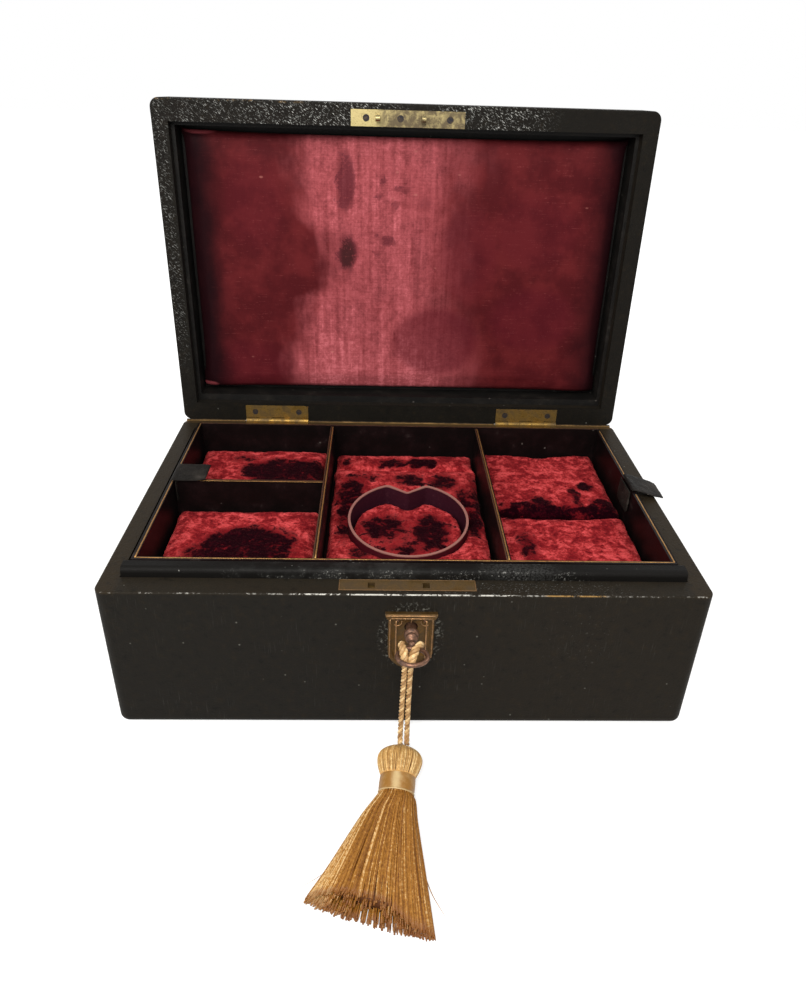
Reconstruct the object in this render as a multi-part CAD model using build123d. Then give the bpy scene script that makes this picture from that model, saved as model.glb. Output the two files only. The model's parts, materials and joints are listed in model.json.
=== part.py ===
from build123d import *
import os
from math import atan2, cos, degrees, pi, radians, sin, tan

os.makedirs("parts", exist_ok=True)

# Jewellery box of about 1880: leather over wood, a lift-out tray, a box lock with its key left in,
# and a silk tassel on the key. Sizes are in millimetres. The origin is the middle of the base's
# footprint, +X is to the right, +Y to the back and +Z up. The lid stands open.

# Carcase
box_width = 280.0
box_depth = 186.0
base_height = 81.0
lid_height = 28.0
rim_gap = 0.3
lid_open_angle = 92.0
side_board = 7.4
long_board = 10.0
bottom_board = 5.0
top_board = 6.0
leather = 1.0
turned_leather = 0.6
turned_depth = 20.0
corner_radius = 5.0
lower_edge_radius = 4.5
rim_edge_radius = 0.9
underside_panel = 0.8
underside_margin = 6.0
leather_turn_in = 12.0

# Linings of the well, and the raised lip board in front
side_ledge = 6.0
long_ledge = 3.0
lip_board = 6.9
lip_gap = 0.7
lip_rise = 4.5
lip_round = 2.6
well_pad = 3.0
well_pad_crown = 0.8

# Lid lining and silk pad
lid_lining = 2.0
lid_hinge_lining = 4.0
lid_lining_setback = 6.2
silk_edge = 5.8
silk_crown = 4.0
silk_draw_in = 1.2
pad_gap = 0.5

# Tray
tray_gap_side = 3.2
tray_gap_front = 0.6
tray_gap_back = 2.2
tray_wall = 2.3
tray_floor = 2.0
tray_rise = 4.3
tray_depth = 28.3
partition = 2.2
partition_x_left = -43.2
partition_x_right = 48.2
partition_drop = 0.2
divider_y = 4.0
velvet_edge = 8.6
velvet_crown = 1.8
velvet_draw_in = 0.8
pad_side_bulge = 0.6
crown_steps = 2
crown_inset = 0.2
slit_y = -1.0
slit = 0.8
step_y = 52.5
step_pad_edge = 7.4
step_pad_crown = 1.2

# Bracelet ring, a strip bent to a circle with a notch at the back
ring_x = 2.6
ring_y = -14.0
ring_radius = 32.6
ring_strip = 1.3
ring_front_height = 11.0
ring_back_height = 17.9
ring_gap = 0.4
notch_depth = 9.0
notch_half_width = 13.4
lobe_radius = 4.5
notch_radius = 1.4
ring_pad_edge = 7.0
ring_pad_crown = 1.8

# Pull straps
strap_width = 20.0
strap_length = 19.0
strap_thickness = 1.1
strap_end_radius = 3.0
strap_roll = 0.85
strap_clearance = 0.2
strap_droop = 18.0
strap_y_left = 10.8
strap_y_right = 5.4
strap_tail = 14.0

# Butt hinges with a stop ledge behind the pin
hinge_x_left = -80.0
hinge_x_right = 82.5
hinge_length = 40.0
hinge_leaf = 1.2
hinge_leaf_width = 10.5
knuckle_radius = 2.0
knuckle_count = 5
knuckle_gap = 0.15
hinge_pin_radius = 1.0
pin_clearance = 0.04
knuckle_clearance = 0.3
stop_reach = 3.0
stop_thickness = 1.2
stop_clearance = 0.05
stop_web = 0.4
stop_web_thickness = 1.2
leaf_corner = 2.5

# Screws
screw_head = 1.8
screw_shank = 0.9
screw_length = 5.0
screw_pitch = 28.0
screw_gap = 0.05

# Box lock: selvedge on the base rim, link plate on the lid rim, case in the front board
lock_x = 0.0
plate_length = 62.6
plate_width = 8.4
plate_thickness = 1.5
plate_setback = 0.1
plate_pride = 0.1
slot_positions = (-16.5, 8.5)
slot_length = 3.2
slot_width = 4.0
link_screw_positions = (-23.0, -4.1, 23.2)
link_thickness = 2.4
link_width = 3.0
link_drop = 7.0
link_eye = 1.6
link_eye_play = 0.7
link_eye_corner = 0.3
case_height = 35.0
case_depth = 6.5
case_wall = 1.0
bolt_thickness = 1.8
bolt_height = 7.4
bolt_left = 28.0
bolt_right = 12.0
bolt_travel = 7.0
prong_height = 1.6
prong_thickness = 1.1
prong_length = 6.0
prong_post = 3.0
lever_thickness = 0.95
lever_height = 4.8
lever_reach = 22.0
lever_pivot_x = -17.0
lever_pivot_rise = 8.6
lever_pivot_radius = 1.2
lever_eye = 2.6
layer_gap = 0.2
fit_gap = 0.2
weld = 0.5
rail_clearance = 2.0
rail_height = 1.2
spring_thickness = 0.4
spring_reach = 22.0
spring_root = 6.0
spring_drop = 1.6
spring_toe = 2.0
spring_toe_rise = 0.5

# Key, turned a quarter from where it goes in, and its escutcheon
key_x = 1.9
key_drop = 17.5
barrel_radius = 2.5
barrel_bore = 1.15
barrel_bore_depth = 11.0
drill_pin_radius = 1.0
drill_pin_share = 0.7
bit_reach = 5.6
bit_thickness = 1.6
bit_step = 1.2
ward_depth = 1.4
ward_width = 0.7
key_clearance = 0.3
key_reach = 13.3
key_ball = 1.9
shank_turning = (
    (barrel_radius, 9.3), (3.0, 8.6), (3.45, 7.3), (2.4, 5.6), (2.9, 4.3),
    (2.2, 3.2), (1.25, 2.0), (1.25, 1.43), (key_ball, 0.0), (1.0, -1.62),
)
bow_width = 15.4
bow_length = 13.2
bow_wire = 1.05
bow_side_share = 0.8
escutcheon_width = 21.0
escutcheon_drop = 9.4
escutcheon_height = 32.2
escutcheon_thickness = 1.6
escutcheon_border = 1.7
escutcheon_recess = 0.7
escutcheon_bar = 3.4
escutcheon_ear = 1.4
escutcheon_ear_depth = 0.8
escutcheon_bar_pride = 0.9
escutcheon_pin_x = 6.3
escutcheon_pin_rise = 3.8
escutcheon_pin_radius = 0.9

# Tassel and its cord
cord_diameter = 2.5
cord_foot_shift = 0.9
cord_foot_half = 1.55
tassel_x = -1.5
tassel_reach = 22.5
tassel_height = 10.9
tassel_sideways = 6.5
tassel_downward = 5.5
head_length = 16.2
head_radius = 10.0
head_top_radius = 3.4
head_neck_radius = 7.7
head_profile = ((0.14, 0.78), (0.45, 1.0), (0.8, 0.91))
band_radius = 8.0
band_length = 8.8
skirt_sections = (
    (37.9, -6.1, 7.6, 11.6, 7.0, -5.0),
    (61.6, -11.3, 5.6, 19.6, 5.3, -6.0),
    (78.5, -13.9, 4.2, 25.8, 4.0, -17.0),
)

# Values that follow
half_width = box_width / 2
half_depth = box_depth / 2
board_x = half_width - leather - side_board
board_y = half_depth - leather - long_board
well_x = board_x - turned_leather
well_y = board_y - turned_leather
floor_z = underside_panel + leather + bottom_board
lid_floor = base_height + rim_gap
lid_top = lid_floor + lid_height
lid_ceiling = lid_top - leather - top_board
hinge_y = half_depth
hinge_z = base_height + rim_gap / 2
tray_top = base_height + tray_rise
ledge_height = tray_top - tray_depth
tray_x = well_x - tray_gap_side
tray_in_x = tray_x - tray_wall
lip_front = -well_y + lip_gap
lip_back = lip_front + lip_board
tray_front = lip_back + tray_gap_front
tray_back = well_y - tray_gap_back
tray_in_front = tray_front + tray_wall
tray_in_back = tray_back - tray_wall
pad_floor = ledge_height + tray_floor
ring_front_top = pad_floor + ring_front_height
ring_back_top = pad_floor + ring_back_height
key_z = base_height - key_drop
lever_pivot_z = key_z + lever_pivot_rise
escutcheon_top = base_height - escutcheon_drop
escutcheon_foot = escutcheon_top - escutcheon_height
escutcheon_pin_z = key_z + escutcheon_pin_rise
plate_y = -well_y - plate_setback - plate_width / 2
slot_y = plate_y - layer_gap
selvedge_top = base_height + plate_pride
case_top = selvedge_top - plate_thickness
case_bottom = case_top - case_height
case_back = -board_y - layer_gap
case_front = case_back - case_depth
cavity_front = case_front + case_wall
cavity_back = case_back - case_wall
bolt_layer = cavity_front + 1.1
lever_layer = cavity_back - layer_gap - lever_thickness
bolt_bottom = key_z + bit_reach / 2 + key_clearance
bolt_top = bolt_bottom + bolt_height
eye_z = lid_floor - link_drop + link_width / 2
strap_z = tray_top + strap_roll + strap_clearance
strap_x = tray_x - tray_wall / 2
key_tip_y = cavity_back - key_clearance
key_end_y = -half_depth - key_reach
bow_y = key_end_y - key_ball - bow_length / 2 + 0.7
talon_half = bit_reach * 0.87
keyhole_room = 2 * key_clearance
tassel_y = -half_depth - tassel_reach
tassel_top = (tassel_x, tassel_y, tassel_height)
lip_low = knuckle_radius + knuckle_clearance
lip_high = lip_low + stop_thickness
open_sine = sin(radians(lid_open_angle))
open_cosine = cos(radians(lid_open_angle))
ledge_top = hinge_z - stop_reach * open_sine + lip_high * open_cosine - stop_clearance
knuckle_room = knuckle_radius + knuckle_clearance
pin_bore = hinge_pin_radius + pin_clearance
web_y = (hinge_y + stop_web, hinge_y + stop_web + stop_web_thickness)

hinge_axis = Axis((0, hinge_y, hinge_z), (1, 0, 0))
front_plane = Plane(origin=(0, -half_depth, 0), x_dir=(1, 0, 0), z_dir=(0, -1, 0))
side_plane = Plane(origin=(0, 0, 0), x_dir=(0, 1, 0), z_dir=(1, 0, 0))


def block(x, y, z):
    """A box from its low and high corners, given as pairs."""
    size = (x[1] - x[0], y[1] - y[0], z[1] - z[0])
    return Pos((x[0] + x[1]) / 2, (y[0] + y[1]) / 2, (z[0] + z[1]) / 2) * Box(*size)


def rounded_block(x, y, z, corner, lower=0.0, upper=0.0):
    """A box with rounded upright corners, and rounded lower and upper edges where asked."""
    body = block(x, y, z)
    body = fillet(body.edges().filter_by(Axis.Z), corner)
    if lower:
        body = fillet(body.faces().sort_by(Axis.Z)[0].edges(), lower)
    if upper:
        body = fillet(body.faces().sort_by(Axis.Z)[-1].edges(), upper)
    return body


def rod(start, end, radius):
    """A round rod between two points."""
    along = Vector(*end) - Vector(*start)
    return Solid.make_cylinder(radius, along.length, Plane(origin=start, z_dir=along))


def save(name, *shapes):
    """Write one sub-part, of one solid or of several alike."""
    solids = [solid for shape in shapes for solid in shape.solids()]
    export_step(Compound(solids), f"parts/{name}.step")


def opened(shape):
    """A piece of the lid, drawn shut, as it stands with the lid open."""
    return shape.rotate(hinge_axis, -lid_open_angle)


def save_lid(name, *shapes):
    """Write a sub-part of the lid in its open place."""
    save(name, *[opened(shape) for shape in shapes])


def cushion(x, y, floor, edge, crown, draw_in):
    """A crowned pad whose sides pull in between its corners, lofted through level outlines."""
    small = min(x[1] - x[0], y[1] - y[0])
    levels = [(0.0, pad_side_bulge), (edge / 2, 0.0)]
    for step in range(crown_steps + 1):
        angle = step / crown_steps * pi / 2
        inset = pad_side_bulge + small * crown_inset * (1 - cos(angle))
        levels.append((edge + crown * sin(angle), inset))
    sections = []
    for height, inset in levels:
        west = x[0] + inset
        east = x[1] - inset
        south = y[0] + inset
        north = y[1] - inset
        mid_x = (west + east) / 2
        mid_y = (south + north) / 2
        outline = [
            ThreePointArc((west, south), (mid_x, south + draw_in), (east, south)),
            ThreePointArc((east, south), (east - draw_in, mid_y), (east, north)),
            ThreePointArc((east, north), (mid_x, north - draw_in), (west, north)),
            ThreePointArc((west, north), (west + draw_in, mid_y), (west, south)),
        ]
        sections.append(Pos(0, 0, floor + height) * make_face(outline))
    return loft(sections, ruled=True)


def ring_outline(grow):
    """The bracelet ring's plan, a disc with a rounded notch, grown or shrunk by an amount."""
    radius = ring_radius + grow
    half = notch_half_width - grow
    reach = radius * 1.2
    spread = half * (reach - radius + notch_depth) / notch_depth
    wedge = make_face(Polyline((-spread, reach), (0, radius - notch_depth), (spread, reach), close=True))
    disc = Circle(radius) - wedge
    lobes = [tip for tip in disc.vertices() if abs(tip.X) > 1.0 and tip.Y > radius / 2]
    disc = fillet(lobes, lobe_radius + grow)
    valley = [tip for tip in disc.vertices() if abs(tip.X) < 0.01 and tip.Y > 0]
    disc = fillet(valley, max(notch_radius - grow, 0.4))
    return Pos(ring_x, ring_y) * disc


def screw(x, y, z, direction):
    """A countersunk screw, head flush at z, with its shank along +Z or -Z."""
    depth = screw_head - screw_shank
    shank = ((screw_shank, depth), (screw_shank, screw_length))
    profile = Polyline((0, 0), (screw_head, 0), *shank, (0, screw_length), close=True)
    body = revolve(Plane.XZ * make_face(profile), Axis.Z)
    if direction < 0:
        body = body.rotate(Axis.X, 180)
    return Pos(x, y, z) * body


def screw_hole(x, y, z, direction):
    """The hole for such a screw, a little wider all over."""
    depth = screw_head - screw_shank
    wide = screw_head + screw_gap
    narrow = screw_shank + screw_gap
    length = screw_length + screw_gap
    profile = Polyline(
        (0, -1), (wide, -1), (wide, 0), (narrow, depth), (narrow, length), (0, length), close=True
    )
    body = revolve(Plane.XZ * make_face(profile), Axis.Z)
    if direction < 0:
        body = body.rotate(Axis.X, 180)
    return Pos(x, y, z) * body


def y_rod(x, z, start, end, radius):
    """A round rod along Y."""
    return rod((x, start, z), (x, end, z), radius)


def hinge_span(x):
    """A hinge's two ends along the box."""
    return (x - hinge_length / 2, x + hinge_length / 2)


def hinge_screws(x):
    """Places of a leaf's two screws."""
    across = hinge_y - hinge_leaf_width * 0.58
    return [(x - screw_pitch / 2, across), (x + screw_pitch / 2, across)]


def knuckle_spans(x, first):
    """Every other knuckle's span along the pin, from the first or the second."""
    step = hinge_length / knuckle_count
    left = x - hinge_length / 2
    spans = []
    for index in range(first, knuckle_count, 2):
        low = left + index * step + (knuckle_gap / 2 if index else 0)
        high = left + (index + 1) * step - (knuckle_gap / 2 if index < knuckle_count - 1 else 0)
        spans.append((low, high))
    return spans


def mirrored(shape):
    """A shape turned over in the hinge's own plane, from the base's side to the lid's."""
    return mirror(shape, about=Plane(origin=(0, 0, hinge_z), z_dir=(0, 0, 1)))


def leaf_below(x, first, rounded):
    """A hinge leaf let into the base's rim, with its knuckles and their stop ledge."""
    span = hinge_span(x)
    top = base_height
    plate = block(span, (hinge_y - hinge_leaf_width, hinge_y - knuckle_room), (top - hinge_leaf, top))
    if rounded:
        corner = plate.edges().filter_by(Axis.Z).sort_by(Axis.Y)[:2].sort_by(Axis.X)[-1:]
        plate = fillet(corner, leaf_corner)
    leaf = plate
    for low, high in knuckle_spans(x, first):
        tongue = block((low, high), (hinge_y - knuckle_room - weld, hinge_y), (top - hinge_leaf, top))
        knuckle = rod((low, hinge_y, hinge_z), (high, hinge_y, hinge_z), knuckle_radius)
        leaf = leaf + tongue + knuckle
    leaf = leaf - pin_line(x, hinge_length, pin_bore)
    for place in hinge_screws(x):
        leaf = leaf - screw_hole(place[0], place[1], top, -1)
    return leaf


def pin_line(x, length, radius):
    """A rod on the hinge's axis, centred at x."""
    return rod((x - length / 2, hinge_y, hinge_z), (x + length / 2, hinge_y, hinge_z), radius)


def stop_ledge(x):
    """The ledge behind the base's knuckles that the lid's lip comes down on when the lid is open."""
    back = hinge_y + lip_high + knuckle_clearance
    return block(hinge_span(x), (hinge_y + stop_web, back), (ledge_top - stop_thickness, ledge_top))


def stop_lip(x):
    """The lid leaf's lip, drawn shut, above and behind the knuckles."""
    lip = (hinge_z + lip_low, hinge_z + lip_high)
    return block(hinge_span(x), (hinge_y + stop_web, hinge_y + stop_reach), lip)


def hinge_cut(x):
    """What both rims lose for a hinge's knuckles."""
    return pin_line(x, hinge_length + 2 * fit_gap, knuckle_room)


def leaf_pocket(x, low, high):
    """The recess that a hinge's leaf is let into."""
    return block(hinge_span(x), (hinge_y - hinge_leaf_width, hinge_y + 1), (low, high))


def keyhole(start, end, grow):
    """A keyhole's cut along Y, round with a slot below for the bit."""
    radius = barrel_radius + grow
    reach = bit_reach + grow
    half = bit_thickness / 2 + grow
    cut = rod((key_x, start, key_z), (key_x, end, key_z), radius)
    slot = block((key_x - half, key_x + half), (min(start, end), max(start, end)), (key_z - reach, key_z))
    return cut + slot


def carcase_walls():
    """The ring of the four base boards, rounded outside."""
    core = rounded_block(
        (-half_width + leather, half_width - leather),
        (-half_depth + leather, half_depth - leather),
        (underside_panel + leather, base_height - leather),
        corner_radius - leather,
        lower=lower_edge_radius - leather,
    )
    return core - block((-board_x, board_x), (-board_y, board_y), (0, base_height))


def lock_mortise():
    """The recess in the front board for the lock's case."""
    half = plate_length / 2 + fit_gap
    depth = (case_front - fit_gap / 2, 1 - board_y)
    return block((lock_x - half, lock_x + half), depth, (case_bottom - fit_gap, base_height))


def plate_recess(low, high):
    """The long plates' outline in the rims, between two heights."""
    half = plate_length / 2
    wide = plate_width / 2
    return block((lock_x - half, lock_x + half), (plate_y - wide, plate_y + wide), (low, high))


def make_base():
    """Boards, leather, underside panel, linings and well pad."""
    walls = carcase_walls()
    front = walls & block((-half_width, half_width), (-half_depth, -board_y), (0, base_height))
    back = walls & block((-half_width, half_width), (board_y, half_depth), (0, base_height))
    left = walls & block((-half_width, -board_x), (-board_y, board_y), (0, base_height))
    right = walls & block((board_x, half_width), (-board_y, board_y), (0, base_height))

    front = front - lock_mortise() - plate_recess(case_top, base_height)
    front = front - keyhole(-half_depth - 1, case_front + weld, keyhole_room)
    for x in (hinge_x_left, hinge_x_right):
        back = back - hinge_cut(x) - leaf_pocket(x, base_height - hinge_leaf, base_height + 1)
        for place in hinge_screws(x):
            back = back - screw_hole(place[0], place[1], base_height, -1)
    save("base_front_board", front)
    save("base_back_board", back)
    save("base_left_board", left)
    save("base_right_board", right)
    bottom = block((-board_x, board_x), (-board_y, board_y), (floor_z - bottom_board, floor_z))
    save("base_bottom_board", bottom)

    cover = rounded_block(
        (-half_width, half_width),
        (-half_depth, half_depth),
        (underside_panel, base_height),
        corner_radius,
        lower=lower_edge_radius,
        upper=rim_edge_radius,
    )
    cover = cover - walls
    cover = cover - block((-well_x, well_x), (-well_y, well_y), (underside_panel + leather, base_height + 1))
    turned_foot = base_height - turned_depth
    cover = cover - block((-board_x, board_x), (-board_y, board_y), (underside_panel + leather, turned_foot))
    window_x = half_width - leather_turn_in
    window_y = half_depth - leather_turn_in
    cover = cover - block((-window_x, window_x), (-window_y, window_y), (0, floor_z))
    cover = cover - plate_recess(case_top, base_height + 1)
    cover = cover - block(
        (lock_x - plate_length / 2 - fit_gap, lock_x + plate_length / 2 + fit_gap),
        (-board_y - weld, -well_y + 1),
        (case_bottom - 1, case_top),
    )
    cover = cover - keyhole(-half_depth - 1, -half_depth + 2 * leather, keyhole_room)
    for x in (hinge_x_left, hinge_x_right):
        cover = cover - hinge_cut(x) - leaf_pocket(x, base_height - hinge_leaf, base_height + 1)
    save("base_leather_cover", cover)

    panel = rounded_block(
        (-half_width + underside_margin, half_width - underside_margin),
        (-half_depth + underside_margin, half_depth - underside_margin),
        (0, underside_panel),
        corner_radius,
    )
    filler = block((-window_x, window_x), (-window_y, window_y), (underside_panel, underside_panel + leather))
    save("base_underside_panel", panel + filler)

    lip_end = well_x - 2 * fit_gap
    lip = block((-lip_end, lip_end), (lip_front, lip_back), (floor_z, base_height + lip_rise))
    outer_edge = lip.edges().filter_by(Axis.X).group_by(Axis.Z)[-1].sort_by(Axis.Y)[0]
    lip = fillet(outer_edge, lip_round)
    inner_edge = lip.edges().filter_by(Axis.X).group_by(Axis.Z)[-1].sort_by(Axis.Y)[-1]
    lip = fillet(inner_edge, lip_gap)
    foot = block((-board_x, board_x), (-board_y, lip_back), (floor_z, case_bottom - 2))
    save("front_lip_board", lip + foot)

    inner = board_x - side_ledge - turned_leather
    side = block((-board_x, -inner), (lip_back, board_y), (floor_z, ledge_height))
    other = mirror(side, about=Plane.YZ)
    front_ledge = block((-inner, inner), (lip_back, lip_back + long_ledge), (floor_z, ledge_height))
    back_ledge = block((-inner, inner), (tray_in_back, board_y), (floor_z, ledge_height))
    save("well_ledge_boards", side, other, front_ledge, back_ledge)
    pad = cushion(
        (-inner + pad_gap, inner - pad_gap),
        (lip_back + long_ledge + pad_gap, tray_in_back - pad_gap),
        floor_z, well_pad, well_pad_crown, velvet_draw_in,
    )
    save("well_floor_pad", pad)


def make_lid():
    """Boards, leather, lining strips and silk pad, drawn shut."""
    core = rounded_block(
        (-half_width + leather, half_width - leather),
        (-half_depth + leather, half_depth - leather),
        (lid_floor + leather, lid_top - leather),
        corner_radius - leather,
        upper=lower_edge_radius - leather,
    )
    recess = block((-board_x, board_x), (-board_y, board_y), (lid_floor, lid_ceiling))
    top = core & block((-half_width, half_width), (-half_depth, half_depth), (lid_ceiling, lid_top))
    walls = core - recess
    walls = walls & block((-half_width, half_width), (-half_depth, half_depth), (lid_floor, lid_ceiling))
    front = walls & block((-half_width, half_width), (-half_depth, -board_y), (lid_floor, lid_top))
    back = walls & block((-half_width, half_width), (board_y, half_depth), (lid_floor, lid_top))
    left = walls & block((-half_width, -board_x), (-board_y, board_y), (lid_floor, lid_top))
    right = walls & block((board_x, half_width), (-board_y, board_y), (lid_floor, lid_top))
    front = front - plate_recess(lid_floor, lid_floor + plate_thickness - plate_pride)
    for x in link_screw_positions:
        front = front - screw_hole(lock_x + x, plate_y, lid_floor - plate_pride, 1)
    for x in (hinge_x_left, hinge_x_right):
        back = back - hinge_cut(x) - leaf_pocket(x, lid_floor - 1, lid_floor + hinge_leaf)
        for place in hinge_screws(x):
            back = back - screw_hole(place[0], place[1], lid_floor, 1)
    save_lid("lid_top_board", top)
    save_lid("lid_front_board", front)
    save_lid("lid_back_board", back)
    save_lid("lid_left_board", left)
    save_lid("lid_right_board", right)

    cover = rounded_block(
        (-half_width, half_width),
        (-half_depth, half_depth),
        (lid_floor, lid_top),
        corner_radius,
        lower=rim_edge_radius,
        upper=lower_edge_radius,
    )
    cover = cover - (core - recess)
    cover = cover - block((-well_x, well_x), (-well_y, well_y), (lid_floor - 1, lid_ceiling))
    turned_end = lid_ceiling - silk_edge
    cover = cover - block((-board_x, board_x), (-board_y, board_y), (turned_end, lid_ceiling))
    cover = cover - plate_recess(lid_floor - 1, lid_floor + plate_thickness - plate_pride)
    for x in (hinge_x_left, hinge_x_right):
        cover = cover - hinge_cut(x) - leaf_pocket(x, lid_floor - 1, lid_floor + hinge_leaf)
    save_lid("lid_leather_cover", cover)

    low = lid_floor + lid_lining_setback
    sides = []
    for sign in (-1, 1):
        x = sorted((sign * well_x, sign * (well_x - lid_lining)))
        sides.append(block(x, (-well_y + lid_lining, well_y - lid_hinge_lining), (low, lid_ceiling)))
    strip_front = block((-well_x, well_x), (-well_y, -well_y + lid_lining), (low, lid_ceiling))
    strip_back = block((-well_x, well_x), (well_y - lid_hinge_lining, well_y), (low, lid_ceiling))
    save_lid("lid_lining_strips", *sides, strip_front, strip_back)

    half = well_x - lid_lining - pad_gap
    pad = cushion(
        (-half, half),
        (-well_y + lid_lining + pad_gap, well_y - lid_hinge_lining - pad_gap),
        0, silk_edge, silk_crown, silk_draw_in,
    )
    pad = mirror(pad, about=Plane.XY)
    save_lid("lid_silk_pad", Pos(0, 0, lid_ceiling) * pad)


def make_hinges():
    """Two butt hinges: leaf, leaf and pin, with their screws."""
    pins = []
    base_screws = []
    lid_screws = []
    for side, x in (("left", hinge_x_left), ("right", hinge_x_right)):
        below = leaf_below(x, 0, False) + stop_ledge(x)
        for span in knuckle_spans(x, 0):
            below = below + block(span, web_y, (ledge_top - stop_thickness, hinge_z - hinge_pin_radius))
        above = mirrored(leaf_below(x, 1, side == "left")) + stop_lip(x)
        for span in knuckle_spans(x, 1):
            above = above + block(span, web_y, (hinge_z + hinge_pin_radius, hinge_z + lip_high))
        bore = pin_line(x, 2 * hinge_length, pin_bore)
        save(f"hinge_base_leaf_{side}", below - bore)
        save_lid(f"hinge_lid_leaf_{side}", above - bore)
        pins.append(pin_line(x, hinge_length, hinge_pin_radius))
        for place in hinge_screws(x):
            base_screws.append(screw(place[0], place[1], base_height, -1))
            lid_screws.append(screw(place[0], place[1], lid_floor, 1))
    save("hinge_pins", *pins)
    save("hinge_base_screws", *base_screws)
    save_lid("hinge_lid_screws", *lid_screws)


def make_tray():
    """Walls, floor, partitions and velvet pads of the lift-out tray."""
    low = ledge_height
    save("tray_front_wall", block((-tray_x, tray_x), (tray_front, tray_in_front), (low, tray_top)))
    save("tray_back_wall", block((-tray_x, tray_x), (tray_in_back, tray_back), (low, tray_top)))
    save("tray_left_wall", block((-tray_x, -tray_in_x), (tray_in_front, tray_in_back), (low, tray_top)))
    save("tray_right_wall", block((tray_in_x, tray_x), (tray_in_front, tray_in_back), (low, tray_top)))
    save("tray_floor", block((-tray_in_x, tray_in_x), (tray_in_front, tray_in_back), (low, pad_floor)))

    top = tray_top - partition_drop
    half = partition / 2
    left_face = partition_x_left - half
    inside = (tray_in_front, tray_in_back)
    left = block((left_face, partition_x_left + half), inside, (pad_floor, top))
    right = block((partition_x_right - half, partition_x_right + half), inside, (pad_floor, top))
    save("tray_partition_left", left)
    save("tray_partition_right", right)
    divider = block((-tray_in_x, left_face), (divider_y - half, divider_y + half), (pad_floor, top))
    save("tray_cross_divider", divider)

    left_span = (-tray_in_x + pad_gap, left_face - pad_gap)
    centre_span = (partition_x_left + half + pad_gap, partition_x_right - half - pad_gap)
    right_span = (partition_x_right + half + pad_gap, tray_in_x - pad_gap)
    front = tray_in_front + pad_gap
    back = tray_in_back - pad_gap
    velvet = (pad_floor, velvet_edge, velvet_crown, velvet_draw_in)
    save("pad_left_front", cushion(left_span, (front, divider_y - half - pad_gap), *velvet))
    save("pad_left_rear", cushion(left_span, (divider_y + half + pad_gap, back), *velvet))
    save("pad_right_front", cushion(right_span, (front, slit_y - slit / 2), *velvet))
    save("pad_right_rear", cushion(right_span, (slit_y + slit / 2, back), *velvet))
    behind = (step_y + slit, back)
    step = cushion(centre_span, behind, pad_floor, step_pad_edge, step_pad_crown, velvet_draw_in)
    save("pad_centre_rear", step)

    main = cushion(centre_span, (front, step_y), *velvet)
    hole = extrude(Pos(0, 0, pad_floor - 1) * ring_outline(ring_gap), velvet_edge + velvet_crown + 2)
    save("pad_centre_main", main - hole)

    strip = ring_outline(0.0) - ring_outline(-ring_strip)
    strip = extrude(Pos(0, 0, pad_floor) * strip, ring_back_top - pad_floor + 1)
    rise = (ring_back_top - ring_front_top) / (2 * ring_radius)
    middle = (ring_back_top + ring_front_top) / 2
    sloping = Plane(origin=(ring_x, ring_y, middle), x_dir=(1, 0, 0), z_dir=(0, -rise, 1))
    above = sloping * Pos(0, 0, 15) * Box(3 * ring_radius, 3 * ring_radius, 30)
    save("bracelet_ring", strip - above)

    heart = ring_outline(-ring_strip - ring_gap)
    drum = extrude(Pos(0, 0, pad_floor) * heart, ring_pad_edge + ring_pad_crown)
    rim = drum.edges().group_by(Axis.Z)[-1]
    save("pad_ring_centre", fillet(rim, ring_pad_crown))


def strap_flap():
    """A flap along +X from its rolled root on the Y axis, with rounded corners at its free end."""
    wide = strap_width / 2
    flap = block((0, strap_length), (-wide, wide), (-strap_thickness / 2, strap_thickness / 2))
    corners = flap.edges().filter_by(Axis.Z).group_by(Axis.X)[-1]
    flap = fillet(corners, strap_end_radius)
    return flap + y_rod(0, 0, -wide, wide, strap_roll)


def make_straps():
    """Two pull straps on the tray's ends, the left folded in and the right folded out."""
    save("pull_strap_left", Pos(-strap_x, strap_y_left, strap_z) * strap_flap())
    save("pull_strap_right", Pos(strap_x, strap_y_right, strap_z) * strap_flap().rotate(Axis.Y, strap_droop))
    low = tray_top - strap_tail
    left = block(
        (-tray_in_x, -tray_in_x + strap_thickness),
        (divider_y + partition / 2, strap_y_left + strap_width / 2),
        (low, tray_top),
    )
    right = block(
        (tray_in_x - strap_thickness, tray_in_x),
        (strap_y_right - strap_width / 2, strap_y_right + strap_width / 2),
        (low, tray_top),
    )
    save("strap_tails", left, right)


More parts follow.
